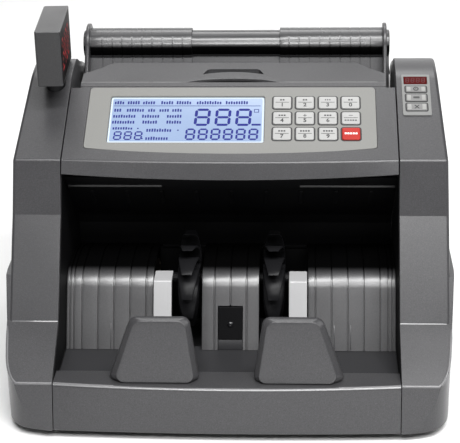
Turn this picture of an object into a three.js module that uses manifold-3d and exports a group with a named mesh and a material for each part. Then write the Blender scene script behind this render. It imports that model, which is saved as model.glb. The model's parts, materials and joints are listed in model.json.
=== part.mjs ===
// Banknote counting machine, millimetres, +Z up, front towards -Y.
// Origin: centre of the footprint on the surface the feet stand on.
import * as THREE from 'three';
import * as BufferGeometryUtils from 'three/addons/utils/BufferGeometryUtils.js';
import Module from 'manifold-3d';

// ---------------------------------------------------------------- dimensions
const GAP = 0.3;                 // clearance between touching pieces
const SEAM_X = 113.0;            // seam between the middle pieces and the side covers
const SKIRT_X = 150.0;           // half width over the low skirt
const COLUMN_X = 145.5;          // half width over the columns
const TOP_X = 142.0;             // half width at the top rear edge
const REAR_Y = 120.2;            // rear face
const FRONT_Y = -120.2;          // front of the lip at the middle
const BASE_Z = 5.6;              // lowest edge of the covers
const SKIRT_Z = 88.0;            // top edge of the skirt
const WALL = 2.5;                // shell wall
const PANEL_DEG = 27;            // slope of the control panel
const CREASE = [-22.0, 158.0];   // front crease of the top (y, z)
const WAIST = [-34.0, 123.0];    // crease half way up the column
const ARM = [-71.0, 61.7];       // crease where the forearm starts
const LIP_TOP = [-109.2, 36.4];  // lip edge at the seam
const LIP_BOT = [-117.5, BASE_Z];
const BOW_TOP = 5.8;             // how far the lip's top edge bows forward at the middle
const BOW_BOT = 2.7;
const BOW_CREASE = 4.2;          // bow of the fascia
const SIDE_BEND = [49.3, 194.3]; // where the side cover's top flattens
const SIDE_REAR = [73.0, 197.6];
const HOUSE_BEND = [42.2, 190.7];
const HOUSE_REAR = [74.5, 195.8];
const HOUSE_X = 106.0;           // half width of the housing behind the wings
const WING_END_Y = 37.5;
const PLATE_X = 98.7, PLATE_M0 = 10.3, PLATE_M1 = 66.5, PLATE_BOW = 5.9;   // faceplate on the panel
const PLATE_T = 1.5, PLATE_PROUD = 0.6;
const LCD = [-83.3, 22.5, 15.6, 57.8];
const KEY_X = [28.7, 44.25, 59.8, 75.35], KEY_M = [46.1, 31.6, 17.2], KEY_W = 12.3, KEY_H = 11.0;
const KEY_TOP = 1.4, KEY_DEPTH = 4.2;
const LABEL = [117.0, 136.5, 39.8, 78.3];
const SIDE_KEYS = [[61.3, 66.6], [52.7, 59.0], [43.9, 50.3]], SIDE_KEY_X = [119.6, 133.6];
const LED_WIN = [118.6, 134.4, 69.2, 75.9];
const POD_C = [-123.7, 40.4], POD_YAW = 3.3, POD_L = 64.5, POD_W = 17.4, POD_Z0 = 199.0, POD_Z1 = 237.5;
const NECK_R = 6.5;
const ROLL = [105.2, 199.2], ROLL_R = 10.0, GUIDE_R0 = 10.5, GUIDE_R1 = 11.7, FLANGE_R = 15.0;
const SLAB_DIR = [-0.53, -0.848]; // direction of the note rest, down and forward
const GUIDE_X = [32.0, 107.0], FLANGE_T = 2.2;
const FLOOR_Z = 30.0, PLATE_BOTTOM_Y = -52.0;
const PLATE_DIR = [0.454, 0.891]; // slope of the stacker back plate
const ARC_C = [-16.5, 60.0], ARC_R = 18.0;
const SLOT_X = [19.5, 53.0];     // impeller and strip slots in the back plate
const STRIP_X = [40.0, 52.3];
const WHEEL_C = [-7.0, 63.0], WHEEL_R = 34.0, WHEEL_X = [21.8, 37.2];
const FEED_C = [50.0, 140.0], PICK_C = [58.0, 172.0], MOTOR_C = [70.0, 45.0];
const FEED_PULLEY_R = 14.0, IMP_PULLEY_R = 12.0, MOTOR_PULLEY_R = 7.0, PICK_PULLEY_R = 8.0;
const FRAME_X = [117.2, 119.2];
const REAR_COVER_Y = [112.0, 114.5];
const STOP = { bottom: [17.6, 77.0], top: [24.0, 62.0], y0: -108.7, y1: -97.2, z0: 36.7, z1: 77.0, t: 9.0 };

// ---------------------------------------------------------------- solid tools
const wasm = await Module();
wasm.setup();
const solid = (g) => {
  g = g.index ? g : BufferGeometryUtils.mergeVertices(g);
  g = g.clone();
  for (const k of Object.keys(g.attributes)) if (k !== 'position') g.deleteAttribute(k);
  g = BufferGeometryUtils.mergeVertices(g, 1e-4);
  return new wasm.Manifold(new wasm.Mesh({
    numProp: 3,
    vertProperties: new Float32Array(g.attributes.position.array),
    triVerts: new Uint32Array(g.index.array),
  }));
};
const join = (...s) => s.reduce((a, b) => a.add(b));
const cut = (a, ...s) => s.reduce((m, b) => m.subtract(b), a);
const toGeometry = (m) => {
  const mesh = m.getMesh();
  const g = new THREE.BufferGeometry();
  g.setAttribute('position', new THREE.BufferAttribute(new Float32Array(mesh.vertProperties), 3));
  g.setIndex(new THREE.BufferAttribute(new Uint32Array(mesh.triVerts), 1));
  g.computeVertexNormals();
  return g;
};
const warp = (g, fn) => {
  const p = g.attributes.position, v = new THREE.Vector3();
  for (let i = 0; i < p.count; i++) { v.fromBufferAttribute(p, i); fn(v); p.setXYZ(i, v.x, v.y, v.z); }
  return g;
};
const shapeOf = (pts) => {
  const s = new THREE.Shape();
  pts.forEach(([a, b], i) => (i ? s.lineTo(a, b) : s.moveTo(a, b)));
  s.closePath();
  return s;
};
// a (y, z) outline carried along X from x0 to x1
const alongX = new THREE.Matrix4().makeBasis(new THREE.Vector3(0, 1, 0), new THREE.Vector3(0, 0, 1), new THREE.Vector3(1, 0, 0));
const prismG = (pts, x0, x1, steps = 1) => {
  const g = new THREE.ExtrudeGeometry(shapeOf(pts), { depth: x1 - x0, steps, bevelEnabled: false });
  g.applyMatrix4(alongX);
  g.translate(x0, 0, 0);
  return g;
};
const prism = (pts, x0, x1) => solid(prismG(pts, x0, x1));
// an (x, y) outline carried along Z
const plan = (pts, z0, z1) => {
  const g = new THREE.ExtrudeGeometry(shapeOf(pts), { depth: z1 - z0, bevelEnabled: false });
  g.translate(0, 0, z0);
  return solid(g);
};
const box = (x0, x1, y0, y1, z0, z1) => {
  const g = new THREE.BoxGeometry(x1 - x0, y1 - y0, z1 - z0);
  g.translate((x0 + x1) / 2, (y0 + y1) / 2, (z0 + z1) / 2);
  return solid(g);
};
const rodX = (y, z, r, x0, x1, n = 20) => {
  const g = new THREE.CylinderGeometry(r, r, x1 - x0, n);
  g.rotateZ(-Math.PI / 2);
  g.translate((x0 + x1) / 2, y, z);
  return solid(g);
};
const rodY = (x, z, r, y0, y1, n = 20) => {
  const g = new THREE.CylinderGeometry(r, r, y1 - y0, n);
  g.translate(x, (y0 + y1) / 2, z);
  return solid(g);
};
const rodZ = (x, y, r, z0, z1, n = 20, r2 = r) => {
  const g = new THREE.CylinderGeometry(r2, r, z1 - z0, n);
  g.rotateX(Math.PI / 2);
  g.translate(x, y, (z0 + z1) / 2);
  return solid(g);
};
// block on the sloping panel: x, m (up the slope from the crease), n (out of the panel)
const PA = THREE.MathUtils.degToRad(PANEL_DEG);
const panelM = new THREE.Matrix4().makeBasis(
  new THREE.Vector3(1, 0, 0), new THREE.Vector3(0, Math.cos(PA), Math.sin(PA)), new THREE.Vector3(0, -Math.sin(PA), Math.cos(PA)),
).setPosition(0, CREASE[0], CREASE[1]);
const onPanel = (x0, x1, m0, m1, n0, n1) => {
  const g = new THREE.BoxGeometry(x1 - x0, m1 - m0, n1 - n0);
  g.translate((x0 + x1) / 2, (m0 + m1) / 2, (n0 + n1) / 2);
  g.applyMatrix4(panelM);
  return solid(g);
};
const plateOnPanel = (pts, n0, n1) => {
  const g = new THREE.ExtrudeGeometry(shapeOf(pts), { depth: n1 - n0, bevelEnabled: false });
  g.translate(0, 0, n0);
  g.applyMatrix4(panelM);
  return solid(g);
};
const mirrorX = (m) => {
  const g = toGeometry(m), p = g.attributes.position, t = g.index.array;
  for (let i = 0; i < p.count; i++) p.setX(i, -p.getX(i));
  for (let i = 0; i < t.length; i += 3) { const k = t[i + 1]; t[i + 1] = t[i + 2]; t[i + 2] = k; }
  return solid(g);
};
// outline moved inwards by d (outline given counter-clockwise)
const inset = (pts, d) => pts.map((p, i) => {
  const a = pts[(i + pts.length - 1) % pts.length], b = pts[(i + 1) % pts.length];
  const u = [p[0] - a[0], p[1] - a[1]], v = [b[0] - p[0], b[1] - p[1]];
  const lu = Math.hypot(...u), lv = Math.hypot(...v);
  const nu = [-u[1] / lu, u[0] / lu], nv = [-v[1] / lv, v[0] / lv];
  const k = d / (1 + nu[0] * nv[0] + nu[1] * nv[1]);
  return [p[0] + (nu[0] + nv[0]) * k, p[1] + (nu[1] + nv[1]) * k];
});

const group = new THREE.Group();
const put = (name, m, color, roughness = 0.5, metalness = 0) => {
  const mat = new THREE.MeshStandardMaterial({ color, roughness, metalness });
  const mesh = new THREE.Mesh(toGeometry(m), mat);
  mesh.name = name;
  group.add(mesh);
};
const GREY = 0x5c5c60, DARK = 0x17171a, PALE = 0xa9a9a5, WHITE = 0xf2f2f0, STEEL = 0x9a9ca0;

// ---------------------------------------------------------------- side covers
const sideOutline = [
  LIP_BOT, [REAR_Y, BASE_Z], [REAR_Y, 164], [119, 172], [114.5, 180.2], [104, 185.8], [88, 191.6], SIDE_REAR, SIDE_BEND,
  CREASE, WAIST, ARM, LIP_TOP,
];
const sideCover = () => {
  // the upper part leans in slightly towards the top
  const lean = (v) => {
    if (v.z > CREASE[1] && v.x > 120) v.x -= (COLUMN_X - TOP_X) * Math.min(1, (v.z - CREASE[1]) / 38);
    return v;
  };
  // plan of the skirt's front corner
  const corner = [[121, -116.4], [129, -114.7], [135.5, -111.8], [140.5, -106.5], [143.6, -100], [145.2, -93], [146.5, -82], [147.8, -70], [149, -57], [SKIRT_X, -45]];
  const footprint = [[100, -125], [SEAM_X, -122], [SEAM_X + 6, -116.8], ...corner, [SKIRT_X, 130], [100, 130]];
  const footprintIn = [[100, -125], [SEAM_X + GAP, -125], [SEAM_X + GAP, -118], ...corner, [SKIRT_X, 130], [100, 130]];
  let low = prism(sideOutline, SEAM_X + GAP, SKIRT_X).intersect(plan(footprintIn, 0, SKIRT_Z));
  let high = solid(warp(prismG(sideOutline, SEAM_X + GAP, COLUMN_X), lean)).intersect(box(100, 160, -130, 130, SKIRT_Z - 0.01, 210));
  let s = join(low, high);
  const hollow = inset(sideOutline, WALL);
  hollow[0] = [hollow[0][0] - 0.8, BASE_Z - 2];
  hollow[1] = [hollow[1][0], BASE_Z - 2];
  s = cut(s, prism(hollow, SEAM_X + GAP + WALL, TOP_X - WALL).intersect(plan(
    [[100, -100], [128, -100], [138, -88], [TOP_X - WALL, -80], [TOP_X - WALL, 130], [100, 130]], 0, 210)));
  // foot of the inner wall stays clear of the base pan
  s = cut(s, box(SEAM_X - 1, SEAM_X + WALL + 1, -94, 112.2, 0, 13));
  // shaft passages in the inner wall
  for (const [c, r] of [[FEED_C, 17], [PICK_C, 10.5], [WHEEL_C, 15], [MOTOR_C, 30]]) s = cut(s, rodX(c[0], c[1], r, SEAM_X - 1, SEAM_X + WALL + 1, 16));
  return s;
};
const label = cut(
  onPanel(LABEL[0], LABEL[1], LABEL[2], LABEL[3], GAP, 1.1),
  ...SIDE_KEYS.map(([a, b]) => onPanel(SIDE_KEY_X[0] - 0.3, SIDE_KEY_X[1] + 0.3, a - 0.3, b + 0.3, -1, 3)),
  onPanel(LED_WIN[0] - 0.3, LED_WIN[1] + 0.3, LED_WIN[2] - 0.3, LED_WIN[3] + 0.3, -1, 3),
);
const right = cut(sideCover(), onPanel(SIDE_KEY_X[0] - 1, SIDE_KEY_X[1] + 1, 42.6, 77.2, -6, 4));
const left = cut(mirrorX(sideCover()), rodZ(POD_C[0], POD_C[1], NECK_R + 0.4, 170, 210, 20));
put('side_cover_right', right, GREY, 0.45);
put('side_cover_left', left, GREY, 0.45);
put('side_key_label', label, PALE, 0.5);
put('side_led_window', onPanel(LED_WIN[0], LED_WIN[1], LED_WIN[2], LED_WIN[3], -3, 1.3), 0x6a0a0c, 0.2);
SIDE_KEYS.forEach(([a, b], i) => put(`side_key_${i + 1}`, onPanel(SIDE_KEY_X[0], SIDE_KEY_X[1], a, b, -2.2, 1.7), 0x8e8e8c, 0.5));

// ---------------------------------------------------------------- base pan and feet
let pan = box(-137.6, 137.6, -86, 111.6, 6.0, 9.0);
pan = join(pan, box(-112.6, 112.6, -92, -85, 6.0, 9.0), box(-112.6, 112.6, 108.6, 111.6, 8.9, 20));
for (const s of [-1, 1]) pan = join(pan, box(s > 0 ? 119.5 : -122.5, s > 0 ? 122.5 : -119.5, -40, 98, 8.9, 20));
put('base_pan', pan, DARK, 0.6);
for (const [n, x, y] of [['foot_front_left', -118, -74], ['foot_front_right', 118, -74], ['foot_rear_left', -118, 94], ['foot_rear_right', 118, 94]]) {
  put(n, rodZ(x, y, 10.5, 0, 5.7, 24, 9.6), 0x141414, 0.9);
}

// ---------------------------------------------------------------- stacker tray (lip and floor)
const bow = (x) => 1 - (x / SEAM_X) ** 2;
const lipWarp = (v) => {
  if (v.y < -104) {
    const t = THREE.MathUtils.clamp((v.z - BASE_Z) / (LIP_TOP[1] - BASE_Z), 0, 1);
    v.y -= bow(v.x) * (BOW_BOT + (BOW_TOP - BOW_BOT) * t);
  }
};
const trayOutline = [
  LIP_BOT, [LIP_BOT[0] + 2.6, BASE_Z], [LIP_TOP[0] + 2.0, 33.9], [-94.5, 33.9], [-94.5, FLOOR_Z - 2.5], [-46, FLOOR_Z - 2.5], [-46, FLOOR_Z],
  [-92, FLOOR_Z], [-92, LIP_TOP[1]], LIP_TOP,
];
put('stacker_tray', solid(warp(prismG(trayOutline, -SEAM_X + 0.1, SEAM_X - 0.1, 12), lipWarp)), GREY, 0.45);

// ---------------------------------------------------------------- stacker back plate, strips, window, stops
const arcPts = (c, r, a0, a1, n) => Array.from({ length: n + 1 }, (_, i) => {
  const a = THREE.MathUtils.degToRad(a0 + ((a1 - a0) * i) / n);
  return [c[0] + r * Math.cos(a), c[1] + r * Math.sin(a)];
});
const backOuter = [[PLATE_BOTTOM_Y, FLOOR_Z + GAP], ...arcPts(ARC_C, ARC_R, 153, 90, 7), [12, 77.5], [34, 71]];
const backInner = [[33.4, 68.9], [11.6, 75.3], ...arcPts(ARC_C, ARC_R - 2.2, 90, 153, 7), [PLATE_BOTTOM_Y + 2.5, FLOOR_Z + GAP]];
let back = prism([...backOuter, ...backInner].reverse(), -SEAM_X + 0.3, SEAM_X - 0.3);
for (const s of [-1, 1]) {
  const [a, b] = s > 0 ? SLOT_X : [-SLOT_X[1], -SLOT_X[0]];
  back = cut(back, box(a, b, -60, 28.5, 20, 90));
}
back = cut(back, box(-8.6, 8.6, -60, -20, 20, 57.2));
put('stacker_back_plate', back, GREY, 0.4);
for (const [n, s] of [['guide_strip_left', -1], ['guide_strip_right', 1]]) {
  const [a, b] = s > 0 ? STRIP_X : [-STRIP_X[1], -STRIP_X[0]];
  put(n, prism([[-57, FLOOR_Z + GAP], [-36, 75], [-20, 75], [-20, 71], [-33.5, 71], [-53, FLOOR_Z + GAP]].reverse(), a, b), 0xd9d9d6, 0.3);
}
put('sensor_window', prism([[-49.2, 36.6], [-39.2, 56.6], [-34, 56.6], [-44, 36.6]].reverse(), -8.2, 8.2), 0x0b0b0c, 0.15);
const stopShape = (mir) => {
  const { bottom: b, top: t, y0, y1, z0, z1 } = STOP;
  const pts = [[b[0] + 5, z0], [b[1] - 5, z0], [b[1], z0 + 5], [t[1], z1 - 5], [t[1] - 5, z1], [t[0] + 5, z1], [t[0], z1 - 5], [b[0], z0 + 5]];
  const g = new THREE.ExtrudeGeometry(shapeOf(pts), { depth: STOP.t, bevelEnabled: false });
  g.rotateX(Math.PI / 2); // outline (x, z), depth towards -y
  g.translate(0, STOP.t, 0);
  warp(g, (v) => {
    const k = (v.z - z0) / (z1 - z0);
    const depth = v.y * (1 - 0.35 * k);
    v.y = y0 + (y1 - y0) * k + depth;
  });
  const m = solid(g);
  return mir ? mirrorX(m) : m;
};
put('stacker_stop_right', stopShape(false), GREY, 0.45);
put('stacker_stop_left', stopShape(true), GREY, 0.45);

// ---------------------------------------------------------------- impellers and shafts
const wheel = (x0, x1) => {
  const n = 12, pts = [];
  for (let i = 0; i < n; i++) {
    const a = (i / n) * 2 * Math.PI, P = (r, d) => [WHEEL_C[0] + r * Math.cos(a + d), WHEEL_C[1] + r * Math.sin(a + d)];
    pts.push(P(13, 0), P(22, 0.22), P(WHEEL_R, 0.62), P(WHEEL_R - 0.4, 0.70), P(22, 0.40), P(13, 0.30));
  }
  return cut(prism(pts, x0, x1), rodX(WHEEL_C[0], WHEEL_C[1], 4.3, x0 - 1, x1 + 1, 16));
};
put('impeller_right', wheel(WHEEL_X[0], WHEEL_X[1]), DARK, 0.35);
put('impeller_left', wheel(-WHEEL_X[1], -WHEEL_X[0]), DARK, 0.35);
put('impeller_shaft', join(
  rodX(WHEEL_C[0], WHEEL_C[1], 4.0, -121.0, 132.5, 16),
  rodX(WHEEL_C[0], WHEEL_C[1], IMP_PULLEY_R, 123.5, 130.5, 24),
), STEEL, 0.3, 0.8);
put('feed_shaft', join(
  rodX(FEED_C[0], FEED_C[1], 4.0, -132.5, 132.5, 16),
  rodX(FEED_C[0], FEED_C[1], 16.0, -46, -24, 28), rodX(FEED_C[0], FEED_C[1], 16.0, 24, 46, 28),
  rodX(FEED_C[0], FEED_C[1], FEED_PULLEY_R, 123.5, 130.5, 24), rodX(FEED_C[0], FEED_C[1], PICK_PULLEY_R, -130.5, -124.5, 20),
), 0x2a2a2c, 0.6);
put('pickup_shaft', join(
  rodX(PICK_C[0], PICK_C[1], 3.5, -132.5, 121.0, 16),
  rodX(PICK_C[0], PICK_C[1], 12.0, -42, -28, 24), rodX(PICK_C[0], PICK_C[1], 12.0, 28, 42, 24),
  rodX(PICK_C[0], PICK_C[1], PICK_PULLEY_R, -130.5, -124.5, 20),
), 0x2a2a2c, 0.6);
put('motor', cut(join(
  rodX(MOTOR_C[0], MOTOR_C[1], 27, 60, 114, 28), rodX(MOTOR_C[0], MOTOR_C[1], 10, 113.9, 116.6, 20), rodX(MOTOR_C[0], MOTOR_C[1], 10, 55, 60.1, 20),
), rodX(MOTOR_C[0], MOTOR_C[1], 3.4, 100, 120, 16)), 0x6d6f72, 0.4, 0.6);
put('motor_rotor', join(rodX(MOTOR_C[0], MOTOR_C[1], 3.0, 101, 132.5, 16), rodX(MOTOR_C[0], MOTOR_C[1], MOTOR_PULLEY_R, 123.5, 130.5, 20)), STEEL, 0.3, 0.8);

// belts: outline of the taut loop round the pulleys, then the same loop inwards by the belt's thickness
const loopOutline = (circles, extra) => {
  const pts = [];
  for (const [c, r] of circles) for (let i = 0; i < 48; i++) pts.push([c[0] + (r + extra) * Math.cos((i / 24) * Math.PI), c[1] + (r + extra) * Math.sin((i / 24) * Math.PI)]);
  pts.sort((a, b) => a[0] - b[0] || a[1] - b[1]);
  const cross = (o, a, b) => (a[0] - o[0]) * (b[1] - o[1]) - (a[1] - o[1]) * (b[0] - o[0]);
  const half = (list) => { const h = []; for (const p of list) { while (h.length > 1 && cross(h[h.length - 2], h[h.length - 1], p) <= 1e-6) h.pop(); h.push(p); } h.pop(); return h; };
  return [...half(pts), ...half(pts.slice().reverse())];
};
const belt = (circles, x0, x1) => cut(prism(loopOutline(circles, 2.0), x0, x1), prism(loopOutline(circles, GAP + 0.1), x0 - 1, x1 + 1));
put('drive_belt', belt([[FEED_C, FEED_PULLEY_R], [WHEEL_C, IMP_PULLEY_R], [MOTOR_C, MOTOR_PULLEY_R]], 124.2, 129.8), 0x101010, 0.8);
put('pickup_belt', belt([[FEED_C, PICK_PULLEY_R], [PICK_C, PICK_PULLEY_R]], -130.0, -125.0), 0x101010, 0.8);

const frame = (s) => {
  const [a, b] = s > 0 ? FRAME_X : [-FRAME_X[1], -FRAME_X[0]];
  let f = prism([[-40, 9.4], [98, 9.4], [98, 110], [92, 150], [72, 182], [40, 182], [30, 150], [-24, 100], [-44, 60]], a, b);
  for (const [c, r] of [[FEED_C, 4.35], [PICK_C, 3.85], [WHEEL_C, 4.35], [MOTOR_C, 3.6]]) f = cut(f, rodX(c[0], c[1], r, a - 1, b + 1, 20));
  return f;
};
put('frame_plate_right', frame(1), STEEL, 0.35, 0.8);
put('frame_plate_left', frame(-1), STEEL, 0.35, 0.8);

// ---------------------------------------------------------------- throat guide over the stacker pocket
const tg = prism([[-17, 143], [-3, 128], [13, 112], [29, 96.5], [30.6, 97.8], [14.4, 113.6], [-1.6, 129.6], [-15.4, 144.4]].reverse(), -SEAM_X + 0.4, SEAM_X - 0.4);
put('throat_guide', join(tg, box(47, 111.5, -9, -5, 132.6, 134.6), box(-111.5, -47, -9, -5, 132.6, 134.6)), 0x0c0c0e, 0.6);

// ---------------------------------------------------------------- display housing and what rides on it
const houseOutline = [
  [-26.5, 149.0], [-23.9, 149.0], [-19.4, 156.2], [43.0, 187.6], [71.5, 192.3], [71.5, 177], HOUSE_REAR.map((v, i) => (i ? 177 : v)),
  HOUSE_REAR, HOUSE_BEND, CREASE,
];
const houseWarp = (v) => {
  if (v.y < -15) v.y -= BOW_CREASE * bow(v.x);
  if (v.z < 150) v.z -= 2.5 * bow(v.x);
};
const plateOutline = (d) => {
  const pts = [];
  for (let i = 0; i <= 10; i++) { const x = -PLATE_X - d + ((2 * (PLATE_X + d)) * i) / 10; pts.push([x, PLATE_M0 - d - PLATE_BOW * (1 - (x / PLATE_X) ** 2)]); }
  pts.push([PLATE_X + d, PLATE_M1 + d], [-PLATE_X - d, PLATE_M1 + d]);
  return pts;
};
let house = solid(warp(prismG(houseOutline, -SEAM_X + 0.4, SEAM_X - 0.4, 12), houseWarp));
for (const s of [-1, 1]) house = cut(house, box(s > 0 ? HOUSE_X : -120, s > 0 ? 120 : -HOUSE_X, WING_END_Y, 90, 150, 210));
for (const s of [-1, 1]) house = cut(house, plan(s > 0 ? [[88.5, 76], [96, 65.3], [106.5, 56], [120, 56], [120, 80], [88.5, 80]] : [[-88.5, 76], [-88.5, 80], [-120, 80], [-120, 56], [-106.5, 56], [-96, 65.3]], 150, 210));
house = cut(house, plateOnPanel(plateOutline(0.3), PLATE_PROUD - PLATE_T - 0.3, 4));
house = cut(house, onPanel(LCD[0] - 1, LCD[1] + 1, LCD[2] - 1, LCD[3] + 1, -8, 3), onPanel(KEY_X[0] - 1.2, KEY_X[3] + KEY_W + 1.2, KEY_M[2] - 1.2, KEY_M[0] + KEY_H + 1.2, -8, 3));
house = cut(house, box(-22.5, 22.5, 54.0, 62.5, 180, 205));
put('display_housing', house, GREY, 0.45);
let face = plateOnPanel(plateOutline(0), PLATE_PROUD - PLATE_T, PLATE_PROUD);
face = cut(face, onPanel(LCD[0] - 0.3, LCD[1] + 0.3, LCD[2] - 0.3, LCD[3] + 0.3, -3, 3));
for (const x of KEY_X) for (const m of KEY_M) face = cut(face, onPanel(x - 0.35, x + KEY_W + 0.35, m - 0.35, m + KEY_H + 0.35, -3, 3));
put('faceplate', face, PALE, 0.5);
put('lcd_module', onPanel(LCD[0], LCD[1], LCD[2], LCD[3], -5.0, 0.2), 0xcfe0ff, 0.2);
KEY_M.forEach((m, r) => KEY_X.forEach((x, c) => {
  put(`key_${r * 4 + c + 1}`, onPanel(x, x + KEY_W, m, m + KEY_H, KEY_TOP - KEY_DEPTH, KEY_TOP), r === 2 && c === 3 ? 0xd63a2c : WHITE, 0.45);
}));

// ---------------------------------------------------------------- customer display pod
const turnPod = (g) => { g.rotateZ(THREE.MathUtils.degToRad(POD_YAW)); g.translate(POD_C[0], POD_C[1], 0); return g; };
const podBox = (x0, x1, y0, y1, z0, z1) => {
  const g = new THREE.BoxGeometry(x1 - x0, y1 - y0, z1 - z0);
  g.translate((x0 + x1) / 2, (y0 + y1) / 2, (z0 + z1) / 2);
  return solid(turnPod(g));
};
const podBody = (() => {
  const w = POD_W / 2, l = POD_L / 2, b = 2.5;
  const g = new THREE.ExtrudeGeometry(shapeOf([[-w + b, -l], [w - 1, -l], [w, -l + 1], [w, l - 1], [w - 1, l], [-w + b, l], [-w, l - b], [-w, -l + b]]), { depth: POD_Z1 - POD_Z0, bevelEnabled: false });
  g.translate(0, 0, POD_Z0);
  return solid(turnPod(g));
})();
put('pod_housing', join(cut(podBody, podBox(POD_W / 2 - 2, POD_W / 2 + 1, -POD_L / 2 + 2, POD_L / 2 - 2, POD_Z0 + 2, POD_Z1 - 2)), rodZ(POD_C[0], POD_C[1], NECK_R, 184, POD_Z0 + 1, 20)), GREY, 0.45);
put('pod_window', podBox(POD_W / 2 - 1.7, POD_W / 2 - 0.3, -POD_L / 2 + 2.3, POD_L / 2 - 2.3, POD_Z0 + 2.3, POD_Z1 - 2.3), 0x0a0405, 0.1);

// ---------------------------------------------------------------- hopper: beam, note rest and sliding guides
const SN = [SLAB_DIR[1], -SLAB_DIR[0]]; // unit normal of the rest, up and forward
const restPt = (s, o) => [ROLL[0] + SLAB_DIR[0] * s + SN[0] * o, ROLL[1] + SLAB_DIR[1] * s + SN[1] * o];
const slab = (s0, s1, o0, o1, x0, x1) => prism([restPt(s0, o0), restPt(s0, o1), restPt(s1, o1), restPt(s1, o0)], x0, x1);
const restLoop = (pts) => pts.map(([u, o]) => restPt(u, o));
const polar = (r, a0, a1, n) => Array.from({ length: n + 1 }, (_, i) => {
  const a = THREE.MathUtils.degToRad(a0 + ((a1 - a0) * i) / n);
  return [r * Math.cos(a), r * Math.sin(a)];
});
put('hopper_beam', join(rodX(ROLL[0], ROLL[1], ROLL_R, -111.5, 111.5, 28), slab(0, 58, -1.5, 1.5, -111.5, 111.5)), GREY, 0.4);
const guide = (sgn) => {
  const [a, b] = GUIDE_X, end = 250;
  const inner = polar(GUIDE_R0, end, 11, 22);
  const shell = prism(restLoop([...polar(GUIDE_R1, 15.9, end, 22), ...inner, [44, 2.0], [44, 3.2]]), a, b);
  const flange = prism(restLoop([...polar(FLANGE_R, 69, end, 18), ...inner, [44, 2.0], [44, 14.0]]), b - 0.5, b + FLANGE_T);
  const g = join(shell, flange);
  return sgn > 0 ? g : mirrorX(g);
};
put('hopper_guide_right', guide(1), GREY, 0.4);
put('hopper_guide_left', guide(-1), GREY, 0.4);

// ---------------------------------------------------------------- rear cover and its fittings
let rear = box(-SEAM_X + 0.4, SEAM_X - 0.4, REAR_COVER_Y[0], REAR_COVER_Y[1], 9.4, 180);
rear = join(rear, box(-SEAM_X + 0.4, SEAM_X - 0.4, 98.5, REAR_COVER_Y[1], 177.5, 180));
rear = cut(rear, box(-100.3, -69.7, 100, 125, 20.7, 43.3), box(-61.3, -38.7, 100, 125, 24.7, 39.3), rodY(0, 150, 6.4, 100, 125, 20));
for (let i = 0; i < 7; i++) rear = cut(rear, box(20, 90, 110, 118, 30 + i * 7, 33 + i * 7));
put('rear_cover', rear, GREY, 0.5);
let inlet = join(box(-100, -70, 98, 111.9, 21, 43), box(-100, -70, 111.5, 116.5, 21, 43));
inlet = cut(inlet, box(-97, -73, 101, 120, 24, 40));
for (const [x, z] of [[-85, 35.5], [-91, 29.5], [-79, 29.5]]) inlet = join(inlet, box(x - 1, x + 1, 100.5, 110, z - 2, z + 2));
put('power_inlet', inlet, 0x111112, 0.5);
const rocker = new THREE.ExtrudeGeometry(shapeOf([[107, 25.6], [113.4, 25.6], [118.6, 26.2], [116.4, 32], [116.6, 38.0], [113.4, 38.4], [107, 38.4]]), { depth: 21, bevelEnabled: false });
rocker.applyMatrix4(alongX);
rocker.translate(-60.5, 0, 0);
put('switch_rocker', solid(rocker), 0x151516, 0.35);
put('feed_gap_knob', join(rodY(0, 150, 9.0, 114.9, 120.0, 24), rodY(0, 150, 5.8, 100, 115, 20)), 0x1a1a1b, 0.5);
put('transformer', join(box(-66, -18, 62, 104, 9.4, 50), box(-58, -26, 55, 95, 16, 44)), 0x4a4038, 0.6);
put('main_board', join(box(-138.4, -136.8, -18, 92, 24, 144), box(-136.9, -131, 0, 22, 60, 82), box(-136.9, -129.5, 40, 70, 100, 120)), 0x1d5a34, 0.6);

export default group;
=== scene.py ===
"""Looks of the banknote counting machine. Metres in Blender, millimetres in the helpers below."""
import json
import math
import random

import bmesh
import bpy
from mathutils import Matrix, Vector

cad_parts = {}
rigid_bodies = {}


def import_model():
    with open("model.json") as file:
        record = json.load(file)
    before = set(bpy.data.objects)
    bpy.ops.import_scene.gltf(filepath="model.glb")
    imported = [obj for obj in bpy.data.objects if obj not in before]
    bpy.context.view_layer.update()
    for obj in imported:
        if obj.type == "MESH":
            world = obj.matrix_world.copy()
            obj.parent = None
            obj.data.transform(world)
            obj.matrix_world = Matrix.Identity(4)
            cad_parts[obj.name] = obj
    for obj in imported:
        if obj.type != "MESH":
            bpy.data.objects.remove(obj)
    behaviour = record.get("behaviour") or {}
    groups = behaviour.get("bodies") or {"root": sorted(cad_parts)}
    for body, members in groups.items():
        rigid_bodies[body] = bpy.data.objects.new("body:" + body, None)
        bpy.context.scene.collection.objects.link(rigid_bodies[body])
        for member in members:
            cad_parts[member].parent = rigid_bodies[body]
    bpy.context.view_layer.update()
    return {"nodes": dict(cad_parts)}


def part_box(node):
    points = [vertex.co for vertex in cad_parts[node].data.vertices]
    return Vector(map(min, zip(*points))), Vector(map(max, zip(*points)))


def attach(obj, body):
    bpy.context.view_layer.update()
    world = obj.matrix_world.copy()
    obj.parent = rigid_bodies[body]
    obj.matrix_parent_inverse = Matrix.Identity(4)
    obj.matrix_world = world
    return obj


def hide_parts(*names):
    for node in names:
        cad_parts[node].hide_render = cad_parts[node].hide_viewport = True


for o in list(bpy.data.objects):
    bpy.data.objects.remove(o)

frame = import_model()
MM = 0.001
rng = random.Random(11)
pi = math.pi

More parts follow.
